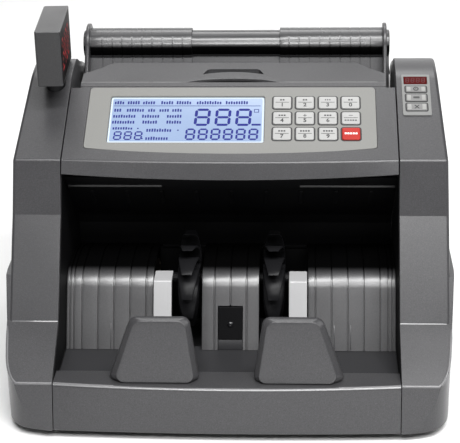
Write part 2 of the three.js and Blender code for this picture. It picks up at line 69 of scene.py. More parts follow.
# ------------------------------------------------------------------ dimensions (mm), as in the CAD part
SEAM_X, SKIRT_X, COLUMN_X, TOP_X = 113.0, 150.0, 145.5, 142.0
REAR_Y, BASE_Z, SKIRT_Z = 120.2, 5.6, 88.0
PANEL = math.radians(27)
CREASE, WAIST, ARM = (-22.0, 158.0), (-34.0, 123.0), (-71.0, 61.7)
LIP_TOP, LIP_BOT = (-109.2, 36.4), (-117.5, BASE_Z)
BOW_TOP, BOW_BOT, BOW_CREASE = 5.8, 2.7, 4.2
SIDE_BEND, SIDE_REAR = (49.3, 194.3), (73.0, 197.6)
HOUSE_BEND, HOUSE_REAR = (42.2, 190.7), (74.5, 195.8)
PLATE_X, PLATE_M0, PLATE_M1, PLATE_BOW = 98.7, 10.3, 66.5, 5.9
LCD = (-83.3, 22.5, 15.6, 57.8)
KEY_X, KEY_M, KEY_W, KEY_H = (28.7, 44.25, 59.8, 75.35), (46.1, 31.6, 17.2), 12.3, 11.0
LABEL = (117.0, 136.5, 39.8, 78.3)
SIDE_KEYS, SIDE_KEY_X = ((61.3, 66.6), (52.7, 59.0), (43.9, 50.3)), (119.6, 133.6)
LED_WIN = (118.6, 134.4, 69.2, 75.9)
POD_C, POD_YAW, POD_L, POD_W, POD_Z0, POD_Z1 = (-123.7, 40.4), math.radians(3.3), 64.5, 17.4, 199.0, 237.5
ROLL, ROLL_R, GUIDE_R0, GUIDE_R1, FLANGE_R = (105.2, 199.2), 10.0, 10.5, 11.7, 15.0
SLAB = (-0.53, -0.848)
FLOOR_Z = 30.0
ARC_C, ARC_R = (-16.5, 60.0), 18.0
WHEEL_C, WHEEL_R, WHEEL_X = (-7.0, 63.0), 34.0, (21.8, 37.2)


# ------------------------------------------------------------------ geometry helpers
def catmull(pts, n=6):
    """Smooth open curve through 2-D points."""
    out = []
    for i in range(len(pts) - 1):
        p0 = pts[max(i - 1, 0)]
        p1, p2 = pts[i], pts[i + 1]
        p3 = pts[min(i + 2, len(pts) - 1)]
        for k in range(n):
            t = k / n
            out.append(tuple(0.5 * ((2 * p1[a]) + (-p0[a] + p2[a]) * t + (2 * p0[a] - 5 * p1[a] + 4 * p2[a] - p3[a]) * t * t
                                    + (-p0[a] + 3 * p1[a] - 3 * p2[a] + p3[a]) * t ** 3) for a in (0, 1)))
    out.append(tuple(pts[-1]))
    return out


def fillet(pts, radii, seg=4):
    """Closed 2-D outline with its corners rounded."""
    out, n = [], len(pts)
    for i, p in enumerate(pts):
        r = radii[i] if isinstance(radii, (list, tuple)) else radii
        a, b, c = Vector(pts[i - 1][:2]), Vector(p[:2]), Vector(pts[(i + 1) % n][:2])
        u, v = a - b, c - b
        lu, lv = u.length, v.length
        u, v = u / lu, v / lv
        dot = max(-1, min(1, u.dot(v)))
        ang = math.acos(dot)
        if r <= 0 or ang > math.radians(178.5):
            out.append((b.x, b.y))
            continue
        t = min(r / math.tan(ang / 2), lu * 0.48, lv * 0.48)
        r2 = t * math.tan(ang / 2)
        cen = b + (u + v).normalized() * (r2 / math.sin(ang / 2))
        p0, p1 = b + u * t, b + v * t
        a0 = math.atan2(p0.y - cen.y, p0.x - cen.x)
        a1 = math.atan2(p1.y - cen.y, p1.x - cen.x)
        d = (a1 - a0 + pi) % (2 * pi) - pi
        for k in range(seg + 1):
            q = a0 + d * k / seg
            out.append((cen.x + r2 * math.cos(q), cen.y + r2 * math.sin(q)))
    return out


def area2(pts):
    return sum(pts[i - 1][0] * pts[i][1] - pts[i][0] * pts[i - 1][1] for i in range(len(pts)))


def ccw(pts):
    return list(pts) if area2(pts) > 0 else list(pts)[::-1]


def inset(pts, d):
    """Closed counter-clockwise outline moved inwards by d."""
    if abs(d) < 1e-9:
        return list(pts)
    out, n = [], len(pts)
    for i, p in enumerate(pts):
        a, c = pts[i - 1], pts[(i + 1) % n]
        u, v = Vector((p[0] - a[0], p[1] - a[1])), Vector((c[0] - p[0], c[1] - p[1]))
        if u.length < 1e-9 or v.length < 1e-9:
            out.append(tuple(p))
            continue
        u, v = u.normalized(), v.normalized()
        nu, nv = Vector((-u.y, u.x)), Vector((-v.y, v.x))
        k = d / max(0.25, 1 + nu.dot(nv))
        out.append((p[0] + (nu.x + nv.x) * k, p[1] + (nu.y + nv.y) * k))
    return out


def along_x(u, v, h):
    return (h, u, v)


def along_y(u, v, h):
    return (u, h, v)


def along_z(u, v, h):
    return (u, v, h)


SP, CP = math.sin(PANEL), math.cos(PANEL)


def on_panel(x, m, n):
    return (x, CREASE[0] + m * CP - n * SP, CREASE[1] + m * SP + n * CP)


def ends(h0, h1, r0, r1, seg=4, mid=()):
    """Levels (height, inset) of a prism whose two ends are rounded by r0 and r1."""
    out = []
    for k in range(seg + 1):
        a = (pi / 2) * k / seg
        out.append((h0 + r0 * (1 - math.cos(a)), r0 * (1 - math.sin(a))))
        if r0 <= 0:
            break
    out += [(m, 0.0) for m in mid]
    for k in range(seg, -1, -1):
        a = (pi / 2) * k / seg
        out.append((h1 - r1 * (1 - math.cos(a)), r1 * (1 - math.sin(a))))
        if r1 <= 0:
            break
    return out


class Mesh:
    """Collects closed shells, then becomes one object."""

    def __init__(self):
        self.v, self.f, self.m = [], [], []

    def loops(self, loops, mat=0, cap0=True, cap1=True, closed=True):
        base, n = len(self.v), len(loops[0])
        for lp in loops:
            self.v += [tuple(p) for p in lp]
        for i in range(len(loops) - 1):
            for j in range(n if closed else n - 1):
                a, b = base + i * n + j, base + i * n + (j + 1) % n
                self.f.append((a, b, b + n, a + n))
                self.m.append(mat)
        if cap0:
            self.f.append(tuple(base + j for j in range(n))[::-1])
            self.m.append(mat)
        if cap1:
            self.f.append(tuple(base + (len(loops) - 1) * n + j for j in range(n)))
            self.m.append(mat)
        return self

    def stack(self, outline, levels, place, mat=0, warp=None):
        o = ccw(outline)
        loops = []
        for h, d in levels:
            lp = [place(u, v, h) for u, v in inset(o, d)]
            loops.append([warp(p) for p in lp] if warp else lp)
        return self.loops(loops, mat)

    def box(self, x0, x1, y0, y1, z0, z1, r=0.3, seg=2, mat=0, place=along_z, corner=None):
        c = r if corner is None else corner
        return self.stack(fillet([(x0, y0), (x1, y0), (x1, y1), (x0, y1)], c, 4), ends(z0, z1, r, r, seg), place, mat)

    def lathe(self, prof, c, axis="x", n=48, mat=0, a0=0.0):
        """Closed profile (position along the axis, radius) turned about an axis through c."""
        loops = []
        for i in range(n):
            a = a0 + 2 * pi * i / n
            ca, sa = math.cos(a), math.sin(a)
            lp = []
            for h, r in prof:
                if axis == "x":
                    lp.append((h, c[0] + r * ca, c[1] + r * sa))
                elif axis == "y":
                    lp.append((c[0] + r * ca, h, c[1] + r * sa))
                else:
                    lp.append((c[0] + r * ca, c[1] + r * sa, h))
            loops.append(lp)
        base, k = len(self.v), len(prof)
        for lp in loops:
            self.v += lp
        for i in range(n):
            for j in range(k - 1):
                a, b = base + i * k + j, base + ((i + 1) % n) * k + j
                self.f.append((a, a + 1, b + 1, b))
                self.m.append(mat)
        return self

    def zone(self, mat, test):
        """Another material on the faces whose middle passes the test."""
        for i, f in enumerate(self.f):
            n = len(f)
            c = tuple(sum(self.v[j][a] for j in f) / n for a in (0, 1, 2))
            if n < 20 and test(c):
                self.m[i] = mat
        return self

    def make(self, name, mats, body, slot=None, replaces=(), bevel=None, smooth=32, cuts=(), weighted=False, merge=0.002):
        me = bpy.data.meshes.new(name)
        me.from_pydata([(x * MM, y * MM, z * MM) for x, y, z in self.v], [], self.f)
        for m in (mats if isinstance(mats, (list, tuple)) else [mats]):
            me.materials.append(m)
        for p, k in zip(me.polygons, self.m):
            p.material_index = k
        bm = bmesh.new()
        bm.from_mesh(me)
        bmesh.ops.remove_doubles(bm, verts=bm.verts, dist=merge * MM)
        bmesh.ops.dissolve_degenerate(bm, edges=bm.edges, dist=0.0005 * MM)
        bmesh.ops.recalc_face_normals(bm, faces=bm.faces)
        bm.to_mesh(me)
        bm.free()
        o = bpy.data.objects.new(name, me)
        bpy.context.scene.collection.objects.link(o)
        cutters = []
        for c in cuts:
            k = c if isinstance(c, bpy.types.Object) else c.cutter()
            cutters.append(k)
            b = o.modifiers.new("cut", "BOOLEAN")
            b.operation, b.solver, b.object = "DIFFERENCE", "EXACT", k
        if cutters:
            bake(o)
            for k in cutters:
                bpy.data.objects.remove(k)
        if bevel:
            w, seg, ang = bevel
            b = o.modifiers.new("bevel", "BEVEL")
            b.width, b.segments, b.limit_method, b.angle_limit = w * MM, seg, "ANGLE", math.radians(ang)
            b.miter_outer = "MITER_ARC" if seg > 2 else "MITER_SHARP"
            b.use_clamp_overlap = True
            b.harden_normals = False
            bake(o)
        shade(o, smooth, weighted)
        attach(o, body)
        if replaces:
            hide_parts(*replaces)
        return o

    def cutter(self):
        me = bpy.data.meshes.new("cutter")
        me.from_pydata([(x * MM, y * MM, z * MM) for x, y, z in self.v], [], self.f)
        bm = bmesh.new()
        bm.from_mesh(me)
        bmesh.ops.recalc_face_normals(bm, faces=bm.faces)
        bm.to_mesh(me)
        bm.free()
        o = bpy.data.objects.new("cutter", me)
        bpy.context.scene.collection.objects.link(o)
        return o


def bake(o):
    dg = bpy.context.evaluated_depsgraph_get()
    me = bpy.data.meshes.new_from_object(o.evaluated_get(dg), preserve_all_data_layers=True, depsgraph=dg)
    old = o.data
    o.modifiers.clear()
    o.data = me
    bpy.data.meshes.remove(old)


def shade(o, angle, weighted=False):
    me = o.data
    me.polygons.foreach_set("use_smooth", [True] * len(me.polygons))
    me.set_sharp_from_angle(angle=math.radians(angle))
    if weighted:
        w = o.modifiers.new("weighted", "WEIGHTED_NORMAL")
        w.keep_sharp, w.weight, w.mode = True, 80, "FACE_AREA"
        bake(o)


def mirrored(m):
    k = Mesh()
    k.v, k.f, k.m = [(-x, y, z) for x, y, z in m.v], [tuple(reversed(f)) for f in m.f], list(m.m)
    return k


# ------------------------------------------------------------------ materials
def new_mat(name):
    m = bpy.data.materials.new(name)
    m.use_nodes = True
    nt = m.node_tree
    return m, nt, nt.nodes["Principled BSDF"]


def plastic(name, color, rough, speck=0.0, ramp=None, fleck=0.0, grain=0.25, grain_mm=0.35, broad=0.05, spec=0.5, coat=0.0, coat_rough=0.15, metallic=0.0):
    """Moulded plastic: fine colour speckle, pearl flecks, slow tone drift, fine texture and uneven gloss."""
    m, nt, b = new_mat(name)
    L, N = nt.links, nt.nodes
    tc = N.new("ShaderNodeTexCoord")
    fine = N.new("ShaderNodeTexNoise")
    fine.inputs["Scale"].default_value = 1100
    fine.inputs["Detail"].default_value = 3
    fine.inputs["Roughness"].default_value = 0.7
    L.new(tc.outputs["Object"], fine.inputs["Vector"])
    slow = N.new("ShaderNodeTexNoise")
    slow.inputs["Scale"].default_value = 22
    slow.inputs["Detail"].default_value = 4
    L.new(tc.outputs["Object"], slow.inputs["Vector"])
    c = Vector(color)
    r1 = N.new("ShaderNodeValToRGB")
    r1.color_ramp.elements[0].position, r1.color_ramp.elements[1].position = 0.3, 0.7
    lo, hi = [x * (1 - speck) for x in c], [x * (1 + speck) for x in c]
    r1.color_ramp.elements[0].color, r1.color_ramp.elements[1].color = (*lo, 1), (*hi, 1)
    L.new(fine.outputs["Fac"], r1.inputs["Fac"])
    r2 = N.new("ShaderNodeValToRGB")
    r2.color_ramp.elements[0].position, r2.color_ramp.elements[1].position = 0.3, 0.7
    r2.color_ramp.elements[0].color, r2.color_ramp.elements[1].color = (1 - broad,) * 3 + (1,), (1 + broad,) * 3 + (1,)
    L.new(slow.outputs["Fac"], r2.inputs["Fac"])
    mul = N.new("ShaderNodeMix")
    mul.data_type, mul.blend_type = "RGBA", "MULTIPLY"
    mul.inputs["Factor"].default_value = 1
    L.new(r1.outputs["Color"], mul.inputs[6])
    L.new(r2.outputs["Color"], mul.inputs[7])
    out = mul.outputs[2]
    if fleck:
        vo = N.new("ShaderNodeTexVoronoi")
        vo.inputs["Scale"].default_value = 1500
        L.new(tc.outputs["Object"], vo.inputs["Vector"])
        fr = N.new("ShaderNodeValToRGB")
        fr.color_ramp.elements[0].position, fr.color_ramp.elements[1].position = 0.10, 0.24
        fr.color_ramp.elements[0].color, fr.color_ramp.elements[1].color = (fleck,) * 3 + (1,), (0, 0, 0, 1)
        L.new(vo.outputs["Distance"], fr.inputs["Fac"])
        add = N.new("ShaderNodeMix")
        add.data_type, add.blend_type = "RGBA", "ADD"
        add.inputs["Factor"].default_value = 1
        L.new(out, add.inputs[6])
        L.new(fr.outputs["Color"], add.inputs[7])
        out = add.outputs[2]
    if ramp:  # (axis, start, end): painted shade, the colour and the gloss fade to black along one axis of the object
        sx = N.new("ShaderNodeSeparateXYZ")
        L.new(tc.outputs["Object"], sx.inputs["Vector"])
        mr = N.new("ShaderNodeMapRange")
        mr.interpolation_type = "SMOOTHSTEP"
        mr.inputs["From Min"].default_value, mr.inputs["From Max"].default_value = ramp[1] * MM, ramp[2] * MM
        mr.inputs["To Min"].default_value, mr.inputs["To Max"].default_value = 1.0, 0.03
        L.new(sx.outputs[ramp[0]], mr.inputs["Value"])
        fade = N.new("ShaderNodeMix")
        fade.data_type, fade.blend_type = "RGBA", "MULTIPLY"
        fade.inputs["Factor"].default_value = 1
        L.new(out, fade.inputs[6])
        L.new(mr.outputs["Result"], fade.inputs[7])
        out = fade.outputs[2]
        sp = N.new("ShaderNodeMath")
        sp.operation = "MULTIPLY"
        sp.inputs[1].default_value = spec
        L.new(mr.outputs["Result"], sp.inputs[0])
        L.new(sp.outputs[0], b.inputs["Specular IOR Level"])
    L.new(out, b.inputs["Base Color"])
    rr = N.new("ShaderNodeMapRange")
    rr.inputs["From Min"].default_value, rr.inputs["From Max"].default_value = 0.3, 0.7
    rr.inputs["To Min"].default_value, rr.inputs["To Max"].default_value = rough - 0.04, rough + 0.04
    L.new(slow.outputs["Fac"], rr.inputs["Value"])
    L.new(rr.outputs["Result"], b.inputs["Roughness"])
    if grain:
        gn = N.new("ShaderNodeTexNoise")
        gn.inputs["Scale"].default_value = 1000 / grain_mm
        gn.inputs["Detail"].default_value = 2
        L.new(tc.outputs["Object"], gn.inputs["Vector"])
        bp = N.new("ShaderNodeBump")
        bp.inputs["Strength"].default_value = grain
        bp.inputs["Distance"].default_value = 0.00004
        L.new(gn.outputs["Fac"], bp.inputs["Height"])
        L.new(bp.outputs["Normal"], b.inputs["Normal"])
    b.inputs["Specular IOR Level"].default_value = spec
    b.inputs["Metallic"].default_value = metallic
    b.inputs["Coat Weight"].default_value = coat
    b.inputs["Coat Roughness"].default_value = coat_rough
    return m


def metal(name, color, rough, stretch=(1, 30, 30), metallic=1.0):
    """Sheet or turned metal with drawn streaks."""
    m, nt, b = new_mat(name)
    L, N = nt.links, nt.nodes
    tc = N.new("ShaderNodeTexCoord")
    mp = N.new("ShaderNodeMapping")
    mp.inputs["Scale"].default_value = stretch
    L.new(tc.outputs["Object"], mp.inputs["Vector"])
    n1 = N.new("ShaderNodeTexNoise")
    n1.inputs["Scale"].default_value = 60
    n1.inputs["Detail"].default_value = 5
    L.new(mp.outputs["Vector"], n1.inputs["Vector"])
    cr = N.new("ShaderNodeValToRGB")
    cr.color_ramp.elements[0].position, cr.color_ramp.elements[1].position = 0.3, 0.7
    cr.color_ramp.elements[0].color = (*[x * 0.86 for x in color], 1)
    cr.color_ramp.elements[1].color = (*[min(1, x * 1.1) for x in color], 1)
    L.new(n1.outputs["Fac"], cr.inputs["Fac"])
    L.new(cr.outputs["Color"], b.inputs["Base Color"])
    rr = N.new("ShaderNodeMapRange")
    rr.inputs["From Min"].default_value, rr.inputs["From Max"].default_value = 0.3, 0.7
    rr.inputs["To Min"].default_value, rr.inputs["To Max"].default_value = rough - 0.08, rough + 0.1
    L.new(n1.outputs["Fac"], rr.inputs["Value"])
    L.new(rr.outputs["Result"], b.inputs["Roughness"])
    bp = N.new("ShaderNodeBump")
    bp.inputs["Strength"].default_value = 0.15
    bp.inputs["Distance"].default_value = 0.00005
    L.new(n1.outputs["Fac"], bp.inputs["Height"])
    L.new(bp.outputs["Normal"], b.inputs["Normal"])
    b.inputs["Metallic"].default_value = metallic
    return m


def glow(name, color, emit, strength, vary=0.04, rough=0.12, scale=9.0):
    """Lit display film: colour and light drift slowly over it, under a gloss layer."""
    m, nt, b = new_mat(name)
    L, N = nt.links, nt.nodes
    tc = N.new("ShaderNodeTexCoord")
    n1 = N.new("ShaderNodeTexNoise")
    n1.inputs["Scale"].default_value = scale
    n1.inputs["Detail"].default_value = 3
    L.new(tc.outputs["Object"], n1.inputs["Vector"])
    for sock, col in (("Base Color", color), ("Emission Color", emit)):
        cr = N.new("ShaderNodeValToRGB")
        cr.color_ramp.elements[0].position, cr.color_ramp.elements[1].position = 0.3, 0.7
        cr.color_ramp.elements[0].color = (*[x * (1 - vary) for x in col], 1)
        cr.color_ramp.elements[1].color = (*[min(1, x * (1 + vary)) for x in col], 1)
        L.new(n1.outputs["Fac"], cr.inputs["Fac"])
        L.new(cr.outputs["Color"], b.inputs[sock])
    b.inputs["Emission Strength"].default_value = strength
    b.inputs["Roughness"].default_value = rough
    return m


GREY = plastic("satin_grey", (0.0435, 0.043, 0.0455), 0.33, speck=0.24, fleck=0.045, grain=0.22, broad=0.035, spec=0.5, metallic=0.04)
# a lighter copy of the satin grey; its colour and gloss fade to black towards the back of the pocket: painted shade
BACKG = plastic("back_plate_grey_painted_shade", (0.058, 0.0575, 0.060), 0.33, speck=0.2, ramp=("Y", -27.5, -18.5), fleck=0.03, grain=0.22, broad=0.035, spec=1.0, metallic=0.06)
# the roll grey whose colour and gloss fade to black downwards, for the roll's underside: painted shade
ROLLB = plastic("hopper_roll_painted_shade", (0.045, 0.045, 0.0465), 0.26, speck=0.12, ramp=("Z", 201.9, 199.9), grain=0.12, broad=0.04, spec=1.0)
# a lighter copy of the satin grey for thin strips along edges: painted highlight
EDGE_HIGHLIGHT = plastic("edge_painted_highlight", (0.115, 0.1145, 0.118), 0.30, speck=0.15, fleck=0.03, grain=0.1, broad=0.03, spec=1.0)
WINDOWB = plastic("sensor_black", (0.004, 0.004, 0.0045), 0.4, speck=0.1, grain=0.0, broad=0.1, spec=0.06)
# a darker copy of the satin grey for the pod's sides: painted shade
PODG = plastic("pod_grey_painted_shade", (0.020, 0.0198, 0.0209), 0.33, speck=0.24, fleck=0.035, grain=0.22, broad=0.035, spec=0.35)
SLABG = plastic("hopper_slab_grey", (0.045, 0.0447, 0.047), 0.45, speck=0.2, fleck=0.03, grain=0.22, broad=0.035, spec=0.2)
# a darker copy of the grey for the pocket floor and the sensor ramp: painted shade
FLOORG = plastic("pocket_floor_painted_shade", (0.026, 0.026, 0.028), 0.5, speck=0.12, grain=0.25, broad=0.05, spec=0.3)
PADDLE = plastic("paddle_black", (0.010, 0.010, 0.011), 0.34, speck=0.15, grain=0.03, grain_mm=1.2, broad=0.1, spec=0.10)
PLATE = plastic("faceplate_grey", (0.170, 0.170, 0.161), 0.5, speck=0.03, fleck=0.0, grain=0.12, broad=0.03)
BLACK = plastic("black_grained", (0.006, 0.006, 0.007), 0.55, speck=0.3, grain=0.35, grain_mm=0.6, broad=0.1, spec=0.25)
# black for parts inside the machine; also laid on grey pieces in the pocket as painted shade
DEEP = plastic("black_inside", (0.0022, 0.0022, 0.0026), 0.6, speck=0.3, grain=0.2, grain_mm=0.6, broad=0.1, spec=0.12)
GLOSS = plastic("black_polished", (0.006, 0.006, 0.007), 0.16, speck=0.1, grain=0.05, grain_mm=1.2, broad=0.1, spec=0.5)
KEYW = plastic("key_white", (0.322, 0.322, 0.317), 0.45, speck=0.01, grain=0.1, broad=0.02)
KEYR = plastic("key_red", (0.33, 0.014, 0.008), 0.5, spec=0.3, speck=0.03, grain=0.1, broad=0.03)
SKEY = plastic("side_key_grey", (0.15, 0.15, 0.148), 0.42, speck=0.06, grain=0.2, broad=0.04)
SKEYL = plastic("side_key_cheek", (0.24, 0.24, 0.232), 0.42, speck=0.04, grain=0.2, broad=0.04)
INK = plastic("ink_black", (0.012, 0.012, 0.013), 0.5, speck=0.15, grain=0.0, broad=0.1)
INKW = plastic("ink_white", (0.82, 0.82, 0.80), 0.5, speck=0.03, grain=0.0, broad=0.03)
STRIP = plastic("strip_white", (0.45, 0.45, 0.455), 0.25, speck=0.01, grain=0.05, grain_mm=1.0, broad=0.03)
RUBBER = plastic("rubber_black", (0.012, 0.012, 0.012), 0.78, speck=0.3, grain=0.6, grain_mm=0.5, broad=0.15, spec=0.3)
STEEL = metal("brushed_steel", (0.56, 0.57, 0.58), 0.32)
SHEET = plastic("powder_coat", (0.030, 0.030, 0.032), 0.55, speck=0.2, grain=0.7, grain_mm=0.8, broad=0.08)
CAN = metal("motor_can", (0.18, 0.185, 0.19), 0.4, metallic=0.6)
BOARD = plastic("board_green", (0.010, 0.085, 0.035), 0.35, speck=0.25, grain=0.1, broad=0.12, coat=0.4)
IRON = plastic("transformer_core", (0.09, 0.07, 0.05), 0.5, speck=0.25, grain=0.6, grain_mm=0.9, broad=0.15)
LCDM = glow("lcd_backlight", (0.08, 0.11, 0.17), (0.50, 0.66, 1.0), 0.49, vary=0.05, rough=0.3)
LCDE = glow("lcd_edge_glow", (0.15, 0.18, 0.22), (0.80, 0.90, 1.0), 0.64, vary=0.03, rough=0.3)
LCDS = plastic("lcd_segment", (0.020, 0.024, 0.16), 0.6, spec=0.08, speck=0.08, grain=0.0, broad=0.06)
REDWIN = plastic("red_window", (0.062, 0.0015, 0.002), 0.4, speck=0.05, grain=0.0, broad=0.08, spec=0.04)
REDSEG = glow("red_segment", (0.035, 0.002, 0.003), (0.5, 0.01, 0.01), 0.02, vary=0.2, scale=200, rough=0.5)
PODSCR = plastic("pod_screen", (0.003, 0.002, 0.002), 0.45, speck=0.1, grain=0.0, broad=0.1, spec=0.04)
PODSEG = glow("pod_segment", (0.10, 0.004, 0.006), (1.0, 0.03, 0.03), 0.22, vary=0.2, scale=200, rough=0.6)


# ------------------------------------------------------------------ side covers
def side_column():
    rear = catmull([(REAR_Y, 150), (REAR_Y, 163), (118.8, 172), (114.0, 180.0), (104, 185.9), (88, 191.8), SIDE_REAR, SIDE_BEND, (30, 184.47)], 5)
    rear = [(min(p[0], REAR_Y - 0.1), p[1]) for p in rear if p[0] > 44][1:]
    core = [(-70.6, 8.6), (REAR_Y, BASE_Z), *rear, CREASE, WAIST, ARM]
    radii = [0.0, 1.2] + [0.0] * len(rear) + [3.2, 1.6, 2.6]
    prof = fillet(core, radii, 5)

    def lean(p):
        x, y, z = p
        if z > CREASE[1] and x > 120:
            k = min(1.0, (z - CREASE[1]) / 38.0)
            x -= (COLUMN_X - TOP_X) * k
        elif x > 120:
            x += 0.9 * min(1.0, (CREASE[1] - z) / 35.0)
        return (x, y, z)

    return Mesh().stack(prof, ends(SEAM_X + 0.3, COLUMN_X, 0.45, 2.3, 5, mid=(120.5,)), along_x, warp=lean)


def skirt():
    # profile stands 0.5 behind the column's lower face above the arm
    k = (SKIRT_Z - ARM[1]) / (WAIST[1] - ARM[1])
    front88 = ARM[0] + (WAIST[0] - ARM[0]) * k
    prof = [LIP_BOT, (REAR_Y - 0.15, BASE_Z), (REAR_Y - 0.15, SKIRT_Z), (front88 + 0.9, SKIRT_Z), (ARM[0] + 0.9, ARM[1] + 0.1), (ARM[0] - 0.4, ARM[1] - 0.26), LIP_TOP]
    a = Mesh().stack(prof, [(SEAM_X + 0.3, 0), (SKIRT_X + 10, 0)], along_x)
    corner = catmull([(SEAM_X + 0.3, -118.0), (121, -116.6), (129, -114.7), (135.5, -111.6), (140.5, -106.3), (143.6, -100), (145.2, -93), (146.5, -82), (147.8, -70), (149, -57), (SKIRT_X - 0.02, -44), (SKIRT_X, -30)], 3)
    corner = [(min(c[0], SKIRT_X), c[1]) for c in corner]
    plan = [(100, -125), (SEAM_X + 0.3, -125), *corner, (SKIRT_X, 130), (138.2, 130), (138.2, -69.5), (100, -69.5)]
    b = Mesh().stack(plan, [(-5, 0), (SKIRT_Z + 10, 0)], along_z)
    return a, b


LIP_PIECES = {}
for sgn, side in ((1, "right"), (-1, "left")):
    body_mesh = side_column()
    a, b = skirt()
    if sgn < 0:
        body_mesh, a, b = mirrored(body_mesh), mirrored(a), mirrored(b)
    cuts = []
    if sgn > 0:
        cuts.append(Mesh().stack([(SIDE_KEY_X[0] - 1, 42.6), (SIDE_KEY_X[1] + 1, 42.6), (SIDE_KEY_X[1] + 1, 77.2), (SIDE_KEY_X[0] - 1, 77.2)], [(-6, 0), (4, 0)], on_panel))
    else:
        cuts.append(Mesh().lathe([(170, 0.001), (170, 6.9), (215, 6.9), (215, 0.001)], POD_C, "z", 40))
    cover = body_mesh.make(f"cover_{side}", [GREY, DEEP], "chassis", "housing_grey", (f"side_cover_{side}",), cuts=cuts, weighted=True)
    sk = a.make(f"skirt_{side}", GREY, "chassis", "housing_grey")
    kb = b.cutter()
    mod = sk.modifiers.new("clip", "BOOLEAN")
    mod.operation, mod.solver, mod.object = "INTERSECT", "EXACT", kb
    bake(sk)
    bpy.data.objects.remove(kb)
    bv = sk.modifiers.new("bevel", "BEVEL")
    bv.width, bv.segments, bv.limit_method, bv.angle_limit = 2.2 * MM, 6, "ANGLE", math.radians(24)
    bake(sk)
    shade(sk, 30, True)
    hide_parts(f"side_cover_{side}")
    # rounded bead on the skirt's upper front edge, following the corner, in the lighter edge grey: a painted highlight
    # line
    n1 = Vector((0, -0.552, 0.834))
    path = [(x, LIP_TOP[0], LIP_TOP[1], Vector((0, -0.966, 0.26))) for x in (SEAM_X + 0.4, 117, 121, 126, 131, 135, 137.2)]
    cor = catmull([(135.5, -111.6), (140.5, -106.3), (143.6, -100), (145.2, -93), (146.5, -82), (147.8, -70)], 5)
    for i in range(1, len(cor) - 1):
        if cor[i][1] > LIP_TOP[0] + 0.8:
            t = Vector((cor[i + 1][0] - cor[i - 1][0], cor[i + 1][1] - cor[i - 1][1])).normalized()
            path.append((cor[i][0], cor[i][1], LIP_TOP[1] + (cor[i][1] - LIP_TOP[0]) * 0.662, Vector((t.y, -t.x, 0))))
    rings = []
    for i, (x, y, z, n2) in enumerate(path):
        a0, b0 = path[max(i - 1, 0)], path[min(i + 1, len(path) - 1)]
        t = Vector((b0[0] - a0[0], b0[1] - a0[1], b0[2] - a0[2])).normalized()
        inn = (n1 + n2).normalized()
        side_v = t.cross(inn).normalized()
        rad = 1.0 if i < len(path) - 4 else 1.0 - 0.2 * (i - len(path) + 4)
        c0 = Vector((x, y, z)) - inn * 0.78
        rings.append([tuple(c0 + inn * rad * math.cos(2 * pi * k / 16) + side_v * rad * math.sin(2 * pi * k / 16)) for k in range(16)])
    bead = Mesh().loops(rings)
    (bead if sgn > 0 else mirrored(bead)).make(f"skirt_bead_{side}", EDGE_HIGHLIGHT, "chassis", "housing_grey", smooth=60)
    # fine ledge where the column's face meets the arm, in the lighter edge grey: a painted highlight line
    led = Mesh().stack([(ARM[0] - 0.62, ARM[1] - 0.5), (ARM[0] + 1.2, ARM[1] - 0.5), (ARM[0] + 1.2, ARM[1] + 0.5), (ARM[0] + 0.1, ARM[1] + 0.3)],
                       [(SEAM_X + 0.5, 0.1), (SEAM_X + 0.8, 0), (COLUMN_X - 1.6, 0), (COLUMN_X - 1.3, 0.1)], along_x)
    (led if sgn > 0 else mirrored(led)).make(f"arm_ledge_{side}", EDGE_HIGHLIGHT, "chassis", "housing_grey")
    # black sheet on the inner wall of the note pocket: painted shade for the pocket's dark walls
    edge = [(-109.0, 31.0), (-60, 31.0), (40, 31.0), (40, 152.0), (-19.5, 152.0), (-31.3, 122.6), (-68.5, 59.6), (-107, 34.0)]
    lin = Mesh().stack(fillet(edge, 0.8, 3), [(SEAM_X - 0.02, 0), (SEAM_X + 0.28, 0)], along_x)
    (lin if sgn > 0 else mirrored(lin)).make(f"pocket_wall_painted_shade_{side}", DEEP, "chassis", "black_plastic")


# ------------------------------------------------------------------ front lip and floor of the pocket
def bow(x):
    return 1 - (x / SEAM_X) ** 2


def lip_warp(p):
    x, y, z = p
    if y < -104:
        t = max(0.0, min(1.0, (z - BASE_Z) / (LIP_TOP[1] - BASE_Z)))
        y -= bow(x) * (BOW_BOT + (BOW_TOP - BOW_BOT) * t) * min(1.0, (-104 - y) / 4.0)
    return (x, y, z)


tray_prof = fillet([LIP_BOT, (LIP_BOT[0] + 2.6, BASE_Z), (LIP_TOP[0] + 2.0, 33.9), (-94.5, 33.9), (-94.5, FLOOR_Z - 2.5), (-46, FLOOR_Z - 2.5),
                    (-46, FLOOR_Z), (-92, FLOOR_Z), (-92, LIP_TOP[1]), LIP_TOP], [0.9, 0.4, 0.4, 0.4, 0.4, 0.3, 0.3, 1.2, 0.7, 2.8], 8)
mid = [-112 + 224 * i / 40 for i in range(1, 40)]
# the pocket floor takes the darker floor grey, painted shade; a strip along the lip's top front edge takes the lighter
# edge grey, a painted highlight
Mesh().stack(tray_prof, ends(-SEAM_X + 0.12, SEAM_X - 0.12, 0.35, 0.35, 3, mid), along_x, warp=lip_warp).zone(
    1, lambda c: c[1] > -93.5 and c[2] < 35.6).zone(
    2, lambda c: 35.0 < c[2] < 36.35 and c[1] < LIP_TOP[0] - BOW_TOP * bow(c[0]) + 1.7).make(
    "stacker_lip", [GREY, FLOORG, EDGE_HIGHLIGHT], "chassis", "housing_grey", ("stacker_tray",), weighted=True)


# ------------------------------------------------------------------ stacker back plate with fine grooves
def arc(c, r, a0, a1, n):
    return [(c[0] + r * math.cos(math.radians(a0 + (a1 - a0) * i / n)), c[1] + r * math.sin(math.radians(a0 + (a1 - a0) * i / n))) for i in range(n + 1)]


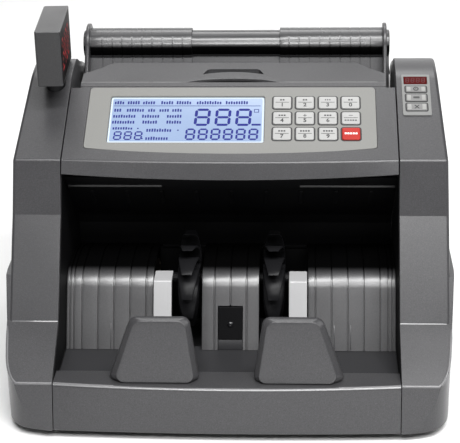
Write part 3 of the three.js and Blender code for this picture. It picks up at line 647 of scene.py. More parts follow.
back_front = [(-52.0, FLOOR_Z + 0.3)] + [(-52 + (-32.54 + 52) * i / 6, 30.3 + (68.17 - 30.3) * i / 6) for i in range(1, 6)] + arc(ARC_C, ARC_R, 153, 90, 16) + [(-2, 78.1), (12, 77.5), (34, 71)]
back_rear = [(33.4, 68.9), (11.6, 75.3), (-2, 75.9)] + arc(ARC_C, ARC_R - 2.2, 90, 153, 12) + [(-49.5, FLOOR_Z + 0.3)]
nf = len(back_front)


def groove_levels(x0, x1, xs, w, d, r=0.4, seg=3):
    """Levels (x, groove depth, end inset) across a grooved plate."""
    out = [(h, 0.0, q) for h, q in ends(x0, x1, r, r, seg) if h < (x0 + x1) / 2]
    for c in sorted(xs):
        for dx, k in ((-w - 0.3, 0), (-w, 0.02), (-w * 0.72, 0.12), (-w * 0.6, 1.0), (w * 0.6, 1.0), (w * 0.72, 0.12), (w, 0.02), (w + 0.3, 0)):
            out.append((c + dx, d * k, 0.0))
    out += [(h, 0.0, q) for h, q in ends(x0, x1, r, r, seg) if h > (x0 + x1) / 2]
    return out


def normals2(pts):
    out = []
    for i in range(len(pts)):
        a, b = pts[max(i - 1, 0)], pts[min(i + 1, len(pts) - 1)]
        t = Vector((b[0] - a[0], b[1] - a[1])).normalized()
        out.append((-t.y, t.x))
    return out


bn = normals2(back_front)


def grooved(mesh, x0, x1, xs, w=1.0, d=0.75, cutbox=None):
    loops = []
    for x, g, q in groove_levels(x0, x1, xs, w, d):
        fr = [(p[0] - n[0] * g, p[1] - n[1] * g) for p, n in zip(back_front, bn)]
        lp = fr + back_rear
        lp = inset(ccw(lp), q) if q else ccw(lp)
        loops.append([(x, y, z) for y, z in lp])
    return mesh.loops(loops)


plate = Mesh()
grooved(plate, -112.7, -53.0, [-58, -69, -80, -91, -102, -107.6, -110.4], 0.62, 1.5)
grooved(plate, 53.0, 112.7, [58, 69, 80, 91, 102, 107.6, 110.4], 0.62, 1.5)
plate.make("back_plate_sides", BACKG, "chassis", "housing_grey", ("stacker_back_plate",), smooth=28)
centre = grooved(Mesh(), -19.5, 19.5, [-11, 0, 11], 0.62, 1.5)
centre.make("back_plate_centre", BACKG, "chassis", "housing_grey", ("stacker_back_plate",), smooth=40,
            cuts=[Mesh().box(-8.6, 8.6, -60, -20, 20, 57.2, 0.0)])
# the grey bridges at the top of the back plate take the black: painted shade of the pocket's top
bridge = Mesh()
for s in (-1, 1):
    bridge.box(20.5 if s > 0 else -52, 52 if s > 0 else -20.5, 28.6, 33.6, 69.4, 71.8, 0.4, 2)
bridge.make("back_plate_bridges", DEEP, "chassis", "housing_grey")
# doubled groove edges low down, behind the stops: fine raised ribs
ribs = Mesh()
for x in (58, 69, 80):
    for s in (-1, 1):
        xc = s * (x + 1.9)
        ribs.stack(fillet([(-52.0, 30.6), (-51.2, 30.6), (-43.6, 45.6), (-44.6, 46.1)], 0.3, 2), [(xc - 0.35, 0.12), (xc - 0.2, 0), (xc + 0.2, 0), (xc + 0.35, 0.12)], along_x)
ribs.make("back_plate_ribs", BACKG, "chassis", "housing_grey")

# pale guide strips
for s, side in ((1, "right"), (-1, "left")):
    x0, x1 = (40.0, 52.3) if s > 0 else (-52.3, -40.0)
    st = fillet([(-57, FLOOR_Z + 0.3), (-53, FLOOR_Z + 0.3), (-33.5, 71), (-20, 71), (-20, 75), (-36, 75)], [0.3, 0.3, 1.0, 0.3, 0.5, 1.6], 5)
    Mesh().stack(st, ends(x0, x1, 0.5, 0.5, 3), along_x).make(f"pale_strip_{side}", STRIP, "chassis", "strip_white", (f"guide_strip_{side}",), weighted=True)

# sensor window: recess with a ramp in the darker floor grey (painted shade), window and its lens
sw = Mesh().stack(fillet([(-49.2, 36.6), (-44, 36.6), (-34, 56.6), (-39.2, 56.6)], [0.4, 0.2, 0.2, 0.6], 3), ends(-8.2, 8.2, 0.4, 0.4, 2), along_x)
ramp = Mesh().stack(fillet([(-51.6, 30.2), (-48.6, 36.6), (-45.0, 36.6), (-46.0, 30.2)], 0.2, 2), ends(-8.3, 8.3, 0.2, 0.2, 1), along_x)
ramp.make("sensor_ramp", FLOORG, "chassis", "housing_grey")
sw.make("sensor_glass", WINDOWB, "chassis", "gloss_black", ("sensor_window",), weighted=True)
c = (-46.0, 44.0)
lens = Mesh()
lens.lathe([(0.0, 0.001), (0.0, 2.2), (0.5, 2.1), (0.95, 1.6), (1.25, 0.8), (1.3, 0.001)], (0, 0), "z", 28)
ln = Vector((-0.891, 0.454))
lens.v = [(x, -44.6 + ln[0] * z + 0.454 * y, 46.4 + ln[1] * z + 0.891 * y) for x, y, z in lens.v]
lens.make("sensor_lens", GLOSS, "chassis", "gloss_black")


# ------------------------------------------------------------------ stops
def stop(s):
    y0, y1, z0, z1, t = -108.7, -97.2, 36.7, 77.0, 9.0
    back = ccw(fillet([(17.6, z0), (77.0, z0), (62.0, z1), (24.0, z1)], [2.6, 2.6, 6.5, 5.5], 7))
    face = ccw(fillet([(20.2, z0 + 0.2), (73.6, z0 + 0.2), (59.6, z1 - 0.6), (26.4, z1 - 0.6)], [4.6, 5.2, 7.0, 6.2], 7))
    loops = []
    for h, a, d in ((0.0, 0.0, 2.4), (0.0, 0.0, 0.85), (0.16, 0.0, 0.32), (0.5, 0.0, 0.06), (0.95, 0.02, 0.0), (2.4, 0.42, 0.0), (4.4, 0.86, 0.0), (5.6, 1.0, 0.0), (t - 0.7, 1.0, 0.0), (t - 0.1, 1.0, 0.35), (t, 1.0, 1.0)):
        f, b = inset(face, d), inset(back, d)
        lp = []
        for p, q in zip(f, b):
            u, v = p[0] + (q[0] - p[0]) * a, p[1] + (q[1] - p[1]) * a
            k = (v - z0) / (z1 - z0)
            lp.append((u, y0 + (y1 - y0) * k + h * (1 - 0.35 * k), v))
        loops.append(lp)
    m = Mesh().loops(loops)
    return m if s > 0 else mirrored(m)


for s, side in ((1, "right"), (-1, "left")):
    stop(s).make(f"stop_{side}", GREY, "chassis", "housing_grey", (f"stacker_stop_{side}",), smooth=42, weighted=True)

# ------------------------------------------------------------------ impellers
def impeller(x0, x1):
    m = Mesh()
    cx, cz = WHEEL_C
    xm, hw = (x0 + x1) / 2, (x1 - x0) / 2
    m.lathe([(x0, 4.3), (x0, 12.4), (x0 + 0.6, 13.0), (x1 - 0.6, 13.0), (x1, 12.4), (x1, 4.3), (x0, 4.3)], WHEEL_C, "x", 48)
    for i in range(12):
        a0 = (i / 12) * 2 * pi
        rows = []
        for k in range(15):
            t = k / 14
            r = 12.0 + (WHEEL_R - 0.35 - 12.0) * t
            a = a0 + 0.10 + 0.95 * t ** 1.2
            w = (1.7 - 0.75 * t)
            x = hw * (1 - 0.10 * t - 0.46 * t ** 3)
            cy0, cz0 = cx + r * math.cos(a), cz + r * math.sin(a)
            ty, tz = -math.sin(a), math.cos(a)
            row = []
            for sx, sw in ((-1, -0.55), (-0.93, -1), (0.93, -1), (1, -0.55), (1, 0.55), (0.93, 1), (0.3, 1), (0, 0.55), (-0.3, 1), (-0.93, 1), (-1, 0.55)):
                row.append((xm + x * sx, cy0 + ty * w * sw * (0.35 if k == 14 else 1), cz0 + tz * w * sw * (0.35 if k == 14 else 1)))
            rows.append(row)
        m.loops(rows)
    return m


impeller(*WHEEL_X).make("paddle_wheel_right", PADDLE, "impellers", "gloss_black", ("impeller_right",), smooth=40)
impeller(-WHEEL_X[1], -WHEEL_X[0]).make("paddle_wheel_left", PADDLE, "impellers", "gloss_black", ("impeller_left",), smooth=40)

# ------------------------------------------------------------------ throat guide: black sheet and two dark strips
tg = Mesh().stack(fillet([(-17, 143), (-3, 128), (13, 112), (29, 96.5), (30.6, 97.8), (14.4, 113.6), (-1.6, 129.6), (-15.4, 144.4)], 0.4, 2), ends(-SEAM_X + 0.4, SEAM_X - 0.4, 0.3, 0.3, 2), along_x)
for i in range(9):  # shallow stiffening beads
    x = -96 + i * 24
    tg.stack(fillet([(-4.0, 127.6), (12.0, 111.6), (13.0, 112.6), (-3.0, 128.8)], 0.5, 3), ends(x - 1.5, x + 1.5, 0.5, 0.5, 2), along_x)
tg.make("throat_sheet", DEEP, "chassis", "black_plastic", ("throat_guide",), smooth=40)
st = Mesh()
for x0, x1 in ((47, 111.5), (-111.5, -47)):
    st.box(x0, x1, -9, -5, 132.7, 134.5, 0.35, 2)
THROAT = plastic("throat_strip", (0.012, 0.012, 0.0125), 0.4, speck=0.1, grain=0.1, broad=0.1)
st.make("throat_strips", THROAT, "chassis", "black_plastic")

# black wall closing the note pocket between the sheet and the back plate: a dark sheet standing in for the shade behind
# the pocket
bw = Mesh()
bw.stack(fillet([(29.6, 97.4), (31.4, 97.0), (36.4, 88), (36.4, 58.0), (34.6, 58.0), (34.6, 87.4)], 0.3, 2), ends(-SEAM_X + 0.5, SEAM_X - 0.5, 0.2, 0.2, 1), along_x)
for sx in (-54.0, 18.0):
    bw.box(sx, sx + 36.0, 29.6, 31.0, 12.0, 70.4, 0.3, 2)
bw.make("pocket_back_wall", DEEP, "chassis", "black_plastic")

# ------------------------------------------------------------------ display housing
def panel_pt(m, n):
    p = on_panel(0, m, n)
    return (p[1], p[2])


house = [(-26.5, 149.0), (-23.9, 149.0), (-19.4, 156.2), (43.0, 187.6), (71.5, 192.3), (71.5, 177), (74.5, 177), HOUSE_REAR,
         (HOUSE_BEND[0] + 1.2, HOUSE_BEND[1] + 0.05), panel_pt(71.2, 0.55), panel_pt(67.9, 0.55), panel_pt(67.4, 0.0), CREASE]
hprof = fillet(house, [0.6, 0.4, 0.5, 0.8, 0.5, 0.45, 0.5, 2.6, 0.8, 0.6, 0.4, 0.3, 3.2], 5)


def house_warp(p):
    x, y, z = p
    b = bow(x)
    if y < -15:
        y -= BOW_CREASE * b * min(1.0, (-15 - y) / 5.0)
    if z < 150:
        z -= 2.5 * b
    return (x, y, z)


mid = [-110 + 220 * i / 36 for i in range(37)]
hm = Mesh().stack(hprof, [(-SEAM_X + 0.4, 0.22), (-SEAM_X + 0.6, 0.0), *[(h, 0.0) for h in mid], (SEAM_X - 0.6, 0.0), (SEAM_X - 0.4, 0.22)], along_x, warp=house_warp)


def plate_outline(d, r=2.2):
    pts = []
    for i in range(25):
        x = -PLATE_X - d + 2 * (PLATE_X + d) * i / 24
        pts.append((x, PLATE_M0 - d - PLATE_BOW * (1 - (x / PLATE_X) ** 2)))
    pts += [(PLATE_X + d, PLATE_M1 + d), (-PLATE_X - d, PLATE_M1 + d)]
    radii = [r] + [0] * 23 + [r, r * 1.2, r * 1.2]
    return fillet(pts, radii, 5)


slot_pts = []
for i in range(13):
    x = -22.0 + 44.0 * i / 12
    slot_pts.append((x, 53.4 + 3.0 * (1 - (x / 22.0) ** 2)))
slot_pts += [(18.6, 60.8), (16.4, 62.0), (-16.4, 62.0), (-18.6, 60.8)]
lens_pts = [(-27.0, 41.6), (27.0, 41.6)]
for i in range(1, 24):
    x = 27.0 - 54.0 * i / 24
    lens_pts.append((x, 41.6 + 4.3 * (1 - (x / 27.0) ** 2) ** 0.8))


def on_top(x, y, h):
    return (x, y, HOUSE_BEND[1] + (y - HOUSE_BEND[0]) * (HOUSE_REAR[1] - HOUSE_BEND[1]) / (HOUSE_REAR[0] - HOUSE_BEND[0]) + h)


cuts = [
    Mesh().box(106.0, 120, 37.5, 90, 140, 215, 0), Mesh().box(-120, -106.0, 37.5, 90, 140, 215, 0),
    Mesh().stack([(89.5, 80), (90.0, 73.5), (96.5, 65.8), (106.5, 57.0), (120, 56), (120, 80)], [(140, 0), (191.2, 0), (199.2, -7.5)], along_z),
    Mesh().stack([(-89.5, 80), (-90.0, 73.5), (-96.5, 65.8), (-106.5, 57.0), (-120, 56), (-120, 80)], [(140, 0), (191.2, 0), (199.2, -7.5)], along_z),
    Mesh().stack(plate_outline(0.35), [(-1.3, 0), (4, 0)], on_panel),
    Mesh().stack([(LCD[0] - 1, LCD[2] - 1), (LCD[1] + 1, LCD[2] - 1), (LCD[1] + 1, LCD[3] + 1), (LCD[0] - 1, LCD[3] + 1)], [(-9, 0), (3, 0)], on_panel),
    Mesh().stack([(KEY_X[0] - 1.2, KEY_M[2] - 1.2), (KEY_X[3] + KEY_W + 1.2, KEY_M[2] - 1.2), (KEY_X[3] + KEY_W + 1.2, KEY_M[0] + KEY_H + 1.2), (KEY_X[0] - 1.2, KEY_M[0] + KEY_H + 1.2)], [(-9, 0), (3, 0)], on_panel),
    Mesh().stack(slot_pts, [(180, 0), (210, 0)], along_z),
    Mesh().stack(lens_pts, [(-1.5, 0), (6, 0)], on_top),
]
hm.make("display_shell", GREY, "display_cover", "housing_grey", ("display_housing",), cuts=cuts, bevel=(0.35, 2, 40), smooth=34, weighted=True)

# fine rounded rim where the housing's top bends down to the panel, in the lighter edge grey: a painted highlight line
for s in (-1, 1):
    rim = Mesh().stack([(HOUSE_BEND[0] + 0.17 + 0.72 * math.cos(2 * pi * k / 20), HOUSE_BEND[1] - 0.55 + 0.72 * math.sin(2 * pi * k / 20)) for k in range(20)],
                       [(30.0, 0.5), (34.0, 0.12), (38.0, 0.0), (99.0, 0.0), (102.0, 0.12), (105.0, 0.5)], along_x)
    (rim if s > 0 else mirrored(rim)).make("housing_rim_right" if s > 0 else "housing_rim_left", EDGE_HIGHLIGHT, "display_cover", "housing_grey", smooth=60)

# finger pull: a low arched tab in front of the slot, and the shadow gap under its front edge
def top_z(y):
    return HOUSE_BEND[1] + (y - HOUSE_BEND[0]) * (HOUSE_REAR[1] - HOUSE_BEND[1]) / (HOUSE_REAR[0] - HOUSE_BEND[0])


tab_rows, nx = [], 41
for j in range(nx):
    x = -33.5 + 67.0 * j / (nx - 1)
    e = max(0.0, 1 - (x / 33.5) ** 2)
    yf = 40.9 + 5.0 * e ** 0.8
    yr = 52.9 + 3.2 * max(0.0, 1 - (x / 22.0) ** 2) if abs(x) < 22 else 52.9 - (abs(x) - 22) * 0.98
    h = 1.25 * e ** 0.6
    row = [on_top(x, yf, -0.4), on_top(x, yf - 0.02, h * 0.62), on_top(x, yf + 0.28, h * 0.92), on_top(x, yf + 0.75, h)]
    for k in range(1, 6):
        row.append(on_top(x, yf + 0.75 + (yr - yf - 0.75) * k / 5, h * (1 - 0.45 * k / 5)))
    row += [on_top(x, yr + 0.12, -0.1), on_top(x, yr + 0.1, -1.0), on_top(x, yf + 0.5, -1.2)]
    tab_rows.append(row)
Mesh().loops(tab_rows).make("finger_pull", GREY, "display_cover", "housing_grey", smooth=38)
Mesh().stack([(x, y) for x, y in lens_pts], [(-1.48, 0.15), (-0.75, 0.15)], on_top).make("finger_pull_gap", DEEP, "display_cover", "black_plastic")

# ------------------------------------------------------------------ faceplate, screen and keypad
def rrect(x0, x1, y0, y1, r, seg=5):
    return fillet([(x0, y0), (x1, y0), (x1, y1), (x0, y1)], r, seg)


plate_cuts = [Mesh().stack(rrect(LCD[0] - 0.3, LCD[1] + 0.3, LCD[2] - 0.3, LCD[3] + 0.3, 1.6), [(-3, 0), (0.25, 0), (1.2, -0.95)], on_panel)]
for x in KEY_X:
    for m in KEY_M:
        plate_cuts.append(Mesh().stack(rrect(x - 0.35, x + KEY_W + 0.35, m - 0.35, m + KEY_H + 0.35, 1.6), [(-3, 0), (3, 0)], on_panel))
Mesh().stack(plate_outline(0.0), [(-0.9, 0), (0.35, 0), (0.53, 0.08), (0.6, 0.3)], on_panel).make(
    "control_plate", PLATE, "display_cover", "faceplate_grey", ("faceplate",), cuts=plate_cuts, smooth=30, weighted=True)

lcd = Mesh()
lcd.stack(rrect(LCD[0] + 0.0, LCD[1] - 0.0, LCD[2] + 0.0, LCD[3] - 0.0, 1.4), [(-5.0, 0.3), (-4.7, 0), (-0.5, 0), (-0.42, 0.1)], on_panel, 1)
lcd.stack(rrect(LCD[0] + 1.3, LCD[1] - 1.3, LCD[2] + 1.3, LCD[3] - 1.3, 1.0), [(-0.6, 0), (-0.40, 0), (-0.38, 0.06)], on_panel, 0)
lcd.make("screen", [LCDM, LCDE], "display_cover", "lcd", ("lcd_module",), smooth=30)

SEGS = {0: "abcdef", 1: "bc", 2: "abged", 3: "abgcd", 4: "fgbc", 5: "afgcd", 6: "afgedc", 7: "abc", 8: "abcdefg", 9: "abcfgd"}


def seg_digit(mesh, cx, cy, w, h, t, digit, place, n0, n1, slant=0.0, mat=0):
    """A seven-segment figure in the plane (u, v)."""
    g = t * 0.16
    hw, hh = w / 2, h / 2

    def bar(p, q):
        d = Vector((q[0] - p[0], q[1] - p[1])).normalized()
        s = Vector((-d.y, d.x)) * t / 2
        a, b = Vector(p) + d * g, Vector(q) - d * g
        pts = [a, a + d * t / 2 - s, b - d * t / 2 - s, b, b - d * t / 2 + s, a + d * t / 2 + s]
        pts = [(cx + u.x + slant * u.y, cy + u.y) for u in pts]
        mesh.stack(pts, [(n0, 0), (n1, 0)], place, mat)

    P = {"a": ((-hw, hh), (hw, hh)), "g": ((-hw, 0), (hw, 0)), "d": ((-hw, -hh), (hw, -hh)),
         "f": ((-hw, 0), (-hw, hh)), "b": ((hw, 0), (hw, hh)), "e": ((-hw, -hh), (-hw, 0)), "c": ((hw, -hh), (hw, 0))}
    for s in SEGS[digit]:
        bar(*P[s])


marks = Mesh()
N0, N1 = -0.40, -0.30


def lcd_rect(x0, x1, m0, m1):
    marks.stack([(x0, m0), (x1, m0), (x1, m1), (x0, m1)], [(N0, 0), (N1, 0)], on_panel)


def lcd_ring(x0, x1, m0, m1, t):
    lcd_rect(x0, x1, m0, m0 + t)
    lcd_rect(x0, x1, m1 - t, m1)
    lcd_rect(x0, x0 + t, m0 + t, m1 - t)
    lcd_rect(x1 - t, x1, m0 + t, m1 - t)


def words(spans, m0, m1, pitch=1.75, seed=0):
    """Captions of the screen stand as rows of plain blocks."""
    q = random.Random(seed)
    for x0, x1 in spans:
        x = x0
        while x + pitch * 0.7 <= x1 + 0.01:
            h = (m1 - m0) * q.choice((0.80, 0.90, 1.0))
            lcd_rect(x, x + pitch * 0.64, m0 + 0.3, m0 + 0.3 + h * 0.82)
            x += pitch


words([(-80.8, -73.6), (-71.8, -63.4), (-61.2, -52.8), (-48.6, -40.2), (-37.9, -26.6), (-24.0, -7.0), (-4.0, 11.5)], 51.1, 54.6, 1.75, 3)
lcd_rect(-81.2, 20.0, 49.55, 49.95)
words([(-80.6, -74.6), (-71.9, -59.4), (-57.2, -52.0), (-49.4, -42.6), (-40.6, -33.6)], 44.0, 47.4, 1.75, 5)
words([(-80.9, -65.2), (-61.0, -48.2), (-43.9, -33.8)], 38.4, 41.8, 1.75, 7)
words([(-81.2, -65.4), (-60.4, -49.2), (-43.9, -33.8)], 32.9, 36.3, 1.75, 9)
words([(-80.4, -65.6)], 27.4, 30.1, 1.75, 11)
words([(-57.2, -38.6)], 25.4, 28.8, 1.75, 13)
words([(-57.4, -40.6)], 18.0, 21.4, 1.75, 15)
lcd_rect(-63.6, -62.6, 28.2, 29.2)
lcd_rect(-60.2, -59.2, 18.9, 19.9)
lcd_rect(-36.2, -35.2, 26.6, 27.6)
for i in range(3):
    seg_digit(marks, -76.6 + i * 7.1, 22.1, 4.4, 6.8, 1.1, 8, on_panel, N0, N1, 0.06)
for i in range(3):
    seg_digit(marks, -19.6 + i * 14.1, 39.1, 8.8, 14.0, 2.0, 8, on_panel, N0, N1, 0.05)
for i in range(6):
    seg_digit(marks, -27.2 + i * 8.55, 23.4, 5.3, 9.1, 1.4, 8, on_panel, N0, N1, 0.05)
lcd_ring(15.6, 19.0, 43.6, 46.6, 0.45)
lcd_rect(14.2, 20.4, 31.4, 33.0)
marks.make("screen_segments", LCDS, "display_cover", "lcd", smooth=30)

# empty mesh, left unused: no bezel line is built round the screen opening
ring = Mesh()


def key_digit(text, x, m, size, n, mat, name, body):
    cu = bpy.data.curves.new(name, "FONT")
    cu.body, cu.size, cu.align_x, cu.align_y = text, size * MM, "CENTER", "CENTER"
    cu.extrude = 0.03 * MM
    cu.offset = (0.05 if text in "68" else 0.11) * MM
    o = bpy.data.objects.new(name, cu)
    bpy.context.scene.collection.objects.link(o)
    p = on_panel(x, m, n)
    o.matrix_world = Matrix.Translation(Vector(p) * MM) @ Matrix.Rotation(PANEL, 4, "X")
    bpy.context.view_layer.update()
    dg = bpy.context.evaluated_depsgraph_get()
    me = bpy.data.meshes.new_from_object(o.evaluated_get(dg), depsgraph=dg)
    mw = o.matrix_world.copy()
    bpy.data.objects.remove(o)
    me.transform(mw)
    me.materials.clear()
    me.materials.append(mat)
    k = bpy.data.objects.new(name, me)
    bpy.context.scene.collection.objects.link(k)
    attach(k, body)
    return k


LEGEND = [("1", "bar2"), ("2", "bar2"), ("3", "dots"), ("0", "bar2"), ("4", "bar3"), ("5", "plus"), ("6", "bar3"), ("", "minus"), ("7", "bar3"), ("8", "bar4"), ("9", "bar4"), ("", "start")]
for r, m in enumerate(KEY_M):
    for cidx, x in enumerate(KEY_X):
        i = r * 4 + cidx
        name = f"key_{i + 1}"
        red = i == 11
        km = Mesh()
        km.stack(rrect(x, x + KEY_W, m, m + KEY_H, 1.45, 6), [(-2.8, 0.3), (-2.5, 0), (0.75, 0), (1.12, 0.1), (1.32, 0.32), (1.4, 0.7)], on_panel)
        km.make(f"cap_{name}", KEYR if red else KEYW, name, "key_red" if red else "key_white", (name,), smooth=40)
        # printed marks on the cap
        pm = Mesh()
        cx = x + KEY_W / 2
        top = 1.4

        def r4(a0, a1, b0, b1):
            pm.stack([(a0, b0), (a1, b0), (a1, b1), (a0, b1)], [(top, 0), (top + 0.05, 0)], on_panel)

        txt, icon = LEGEND[i]
        my = m + 7.7
        if icon.startswith("bar"):
            k = int(icon[3])
            for q in range(k):
                w = 1.25
                gx = cx - (k * 1.75 - 0.5) / 2 + q * 1.75
                r4(gx, gx + w, my - 0.62, my + 0.62)
        elif icon == "dots":
            for q in (-1.5, 0, 1.5):
                r4(cx + q - 0.45, cx + q + 0.45, my - 0.45, my + 0.45)
        elif icon == "plus":
            r4(cx - 1.2, cx + 1.2, my - 0.22, my + 0.22)
            r4(cx - 0.22, cx + 0.22, my - 1.2, my + 1.2)
        elif icon == "minus":
            r4(cx - 1.4, cx + 1.4, my - 0.22, my + 0.22)
            for q in range(5):
                gx = cx - 4.2 + q * 1.75
                r4(gx, gx + 1.25, m + 2.7, m + 3.7)
        if icon == "start":
            for q in range(5):
                gx = cx - 4.3 + q * 1.8
                r4(gx, gx + 1.3, m + 4.75, m + 6.25)
        else:
            r4(x + 1.5, x + KEY_W - 1.5, m + 5.25, m + 5.65)
        pm.make(f"print_{name}", INKW if red else INK, name, "key_red" if red else "key_white")
        if txt:
            key_digit(txt, cx, m + 2.95, 4.6, top + 0.05, INK, f"digit_{name}", name)
        # dark rubber frame round the key
        fr = Mesh()
        o1 = ccw(rrect(x - 0.95, x + KEY_W + 0.95, m - 0.95, m + KEY_H + 0.95, 2.2, 6))
        i1 = ccw(rrect(x - 0.12, x + KEY_W + 0.12, m - 0.12, m + KEY_H + 0.12, 1.5, 6))
        fr.loops([[on_panel(u, v, h) for u, v in (o1 if w else i1)] for w, h in ((1, 0.58), (1, 0.66), (0, 0.66), (0, -1.6), (1, -1.6), (1, 0.58))], cap0=False, cap1=False)
        fr.make(f"frame_{name}", INK, "display_cover", "black_plastic", smooth=30)

# ------------------------------------------------------------------ side key panel
lab_cuts = [Mesh().stack(rrect(SIDE_KEY_X[0] - 0.3, SIDE_KEY_X[1] + 0.3, a - 0.3, b + 0.3, 0.9), [(-1, 0), (3, 0)], on_panel) for a, b in SIDE_KEYS]
lab_cuts.append(Mesh().stack(rrect(LED_WIN[0] - 0.3, LED_WIN[1] + 0.3, LED_WIN[2] - 0.3, LED_WIN[3] + 0.3, 0.6), [(-1, 0), (3, 0)], on_panel))
Mesh().stack(rrect(LABEL[0], LABEL[1], LABEL[2], LABEL[3], 1.1), [(0.3, 0), (0.85, 0), (1.05, 0.08), (1.1, 0.28)], on_panel).make(
    "side_plate", plastic("side_plate_grey", (0.16, 0.162, 0.158), 0.5, speck=0.03, grain=0.12, broad=0.03), "chassis", "faceplate_grey", ("side_key_label",), cuts=lab_cuts, smooth=30, weighted=True)
win = Mesh().stack(rrect(LED_WIN[0], LED_WIN[1], LED_WIN[2], LED_WIN[3], 0.5), [(-3, 0), (1.15, 0), (1.3, 0.2)], on_panel)
win.make("red_display", REDWIN, "chassis", "red_window", ("side_led_window",), smooth=30)
seg = Mesh()
for i in range(4):
    seg_digit(seg, LED_WIN[0] + 2.5 + i * 3.6, (LED_WIN[2] + LED_WIN[3]) / 2, 2.0, 3.9, 0.55, 8, on_panel, 1.30, 1.36, 0.08)
seg.make("red_digits", REDSEG, "chassis", "red_window")
for i, (a, b) in enumerate(SIDE_KEYS):
    name = f"side_key_{i + 1}"
    km = Mesh()
    km.stack(rrect(SIDE_KEY_X[0], SIDE_KEY_X[1], a, b, 0.8, 4), [(-2.2, 0.2), (-2.0, 0), (1.3, 0), (1.55, 0.1), (1.66, 0.3), (1.7, 0.6)], on_panel, 0)
    for s in (0, 1):
        x0 = SIDE_KEY_X[0] + 0.7 if s == 0 else SIDE_KEY_X[1] - 3.3
        km.stack(rrect(x0, x0 + 2.6, a + 0.8, b - 0.8, 0.3, 3), [(1.6, 0), (1.72, 0), (1.76, 0.08)], on_panel, 1)
    km.make(f"cap_{name}", [SKEY, SKEYL], name, "side_key_grey", (name,), smooth=40)
    pm = Mesh()
    cx, cm = sum(SIDE_KEY_X) / 2, (a + b) / 2

    def q4(a0, a1, b0, b1):
        pm.stack([(a0, b0), (a1, b0), (a1, b1), (a0, b1)], [(1.7, 0), (1.76, 0)], on_panel)

    if i == 0:
        pm.loops([[on_panel(cx + r * math.cos(t), cm + r * math.sin(t), n) for t in [2 * pi * k / 20 for k in range(20)]] for r, n in ((1.9, 1.7), (1.9, 1.76), (1.1, 1.76), (1.1, 1.7), (1.9, 1.7))], cap0=False, cap1=False)
        q4(cx - 0.3, cx + 0.3, cm - 0.6, cm + 0.6)
    elif i == 1:
        q4(cx - 2.1, cx + 2.1, cm - 0.9, cm + 0.2)
        q4(cx - 2.1, cx + 2.1, cm + 0.55, cm + 0.95)
    else:
        for sx in (-1, 1):
            pm.stack([(cx - 1.9 * sx, cm - 1.6), (cx - 1.0 * sx, cm - 1.6), (cx + 1.9 * sx, cm + 1.6), (cx + 1.0 * sx, cm + 1.6)], [(1.7, 0), (1.76, 0)], on_panel)
    pm.make(f"print_{name}", INK, name, "side_key_grey")
    fr = Mesh()
    o1 = ccw(rrect(SIDE_KEY_X[0] - 0.85, SIDE_KEY_X[1] + 0.85, a - 0.85, b + 0.85, 1.4, 5))
    i1 = ccw(rrect(SIDE_KEY_X[0] - 0.1, SIDE_KEY_X[1] + 0.1, a - 0.1, b + 0.1, 0.8, 5))
    fr.loops([[on_panel(u, v, h) for u, v in (o1 if w else i1)] for w, h in ((1, 1.08), (1, 1.16), (0, 1.16), (0, -1.0), (1, -1.0), (1, 1.08))], cap0=False, cap1=False)
    fr.make(f"frame_{name}", INK, "chassis", "black_plastic", smooth=30)

# ------------------------------------------------------------------ customer display pod
cyaw, syaw = math.cos(POD_YAW), math.sin(POD_YAW)


def pod_place(u, v, h):
    return (POD_C[0] + u * cyaw - v * syaw, POD_C[1] + u * syaw + v * cyaw, h)


w2, l2 = POD_W / 2, POD_L / 2
pod_prof = fillet([(-w2, -l2), (w2, -l2), (w2, l2), (-w2, l2)], [1.6, 0.7, 0.7, 1.6], 5)
zc = ends(POD_Z0, POD_Z1, 0.65, 0.65, 3)
pod = Mesh().stack(pod_prof, zc, pod_place)
podcut = Mesh().stack([(w2 - 1.4, -l2 + 1.0), (w2 + 2, -l2 + 1.0), (w2 + 2, l2 - 1.0), (w2 - 1.4, l2 - 1.0)], [(POD_Z0 + 1.0, 0), (POD_Z1 - 1.0, 0)], pod_place)
# the pod's top faces keep the satin grey while its sides take the darker pod grey: painted shade
pod.zone(1, lambda c: c[2] > POD_Z1 - 0.5).make("pod_shell", [PODG, GREY], "pod", "housing_grey", ("pod_housing",), cuts=[podcut], smooth=34, weighted=True)
# the black neck under the pod: partly the neck's own dark colour, partly painted shade under the pod
neck = Mesh().lathe([(184, 0.001), (184, 6.0), (184.5, 6.5), (197.2, 6.5), (198.2, 7.0), (199.6, 7.6), (199.6, 0.001)], POD_C, "z", 40)
neck.make("pod_neck", BLACK, "pod", "housing_grey", smooth=40)
scr = Mesh().stack(rrect(-l2 + 1.1, l2 - 1.1, POD_Z0 + 1.1, POD_Z1 - 1.1, 0.6), [(w2 - 1.35, 0), (w2 - 0.25, 0), (w2 - 0.1, 0.15)], lambda v, z, u: pod_place(u, v, z))
scr.make("pod_glass", PODSCR, "pod", "pod_screen", ("pod_window",), smooth=30)
DOTS = {2: ("01110", "10001", "00001", "00110", "01000", "10000", "11111"), 4: ("00010", "00110", "01010", "10010", "11111", "00010", "00010"),
        0: ("01110", "10001", "10001", "10001", "10001", "10001", "01110")}
ps = Mesh()
for i, g in enumerate((2, 4, 0, 0)):
    for rw, line in enumerate(DOTS[g]):
        for cl, ch in enumerate(line):
            if ch == "1":
                v0, z0 = -l2 + 9.2 + i * 11.6 + cl * 1.95, POD_Z1 - 8.4 - rw * 3.3
                ps.stack(rrect(v0, v0 + 1.5, z0 - 2.2, z0, 0.4, 2), [(w2 - 0.12, 0), (w2 - 0.05, 0)], lambda v, z, u: pod_place(u, v, z))
ps.make("pod_digits", PODSEG, "pod", "pod_screen")

# ------------------------------------------------------------------ hopper: roll, rest and grooved guides
SN = (SLAB[1], -SLAB[0])


def rest(u, o):
    return (ROLL[0] + SLAB[0] * u + SN[0] * o, ROLL[1] + SLAB[1] * u + SN[1] * o)


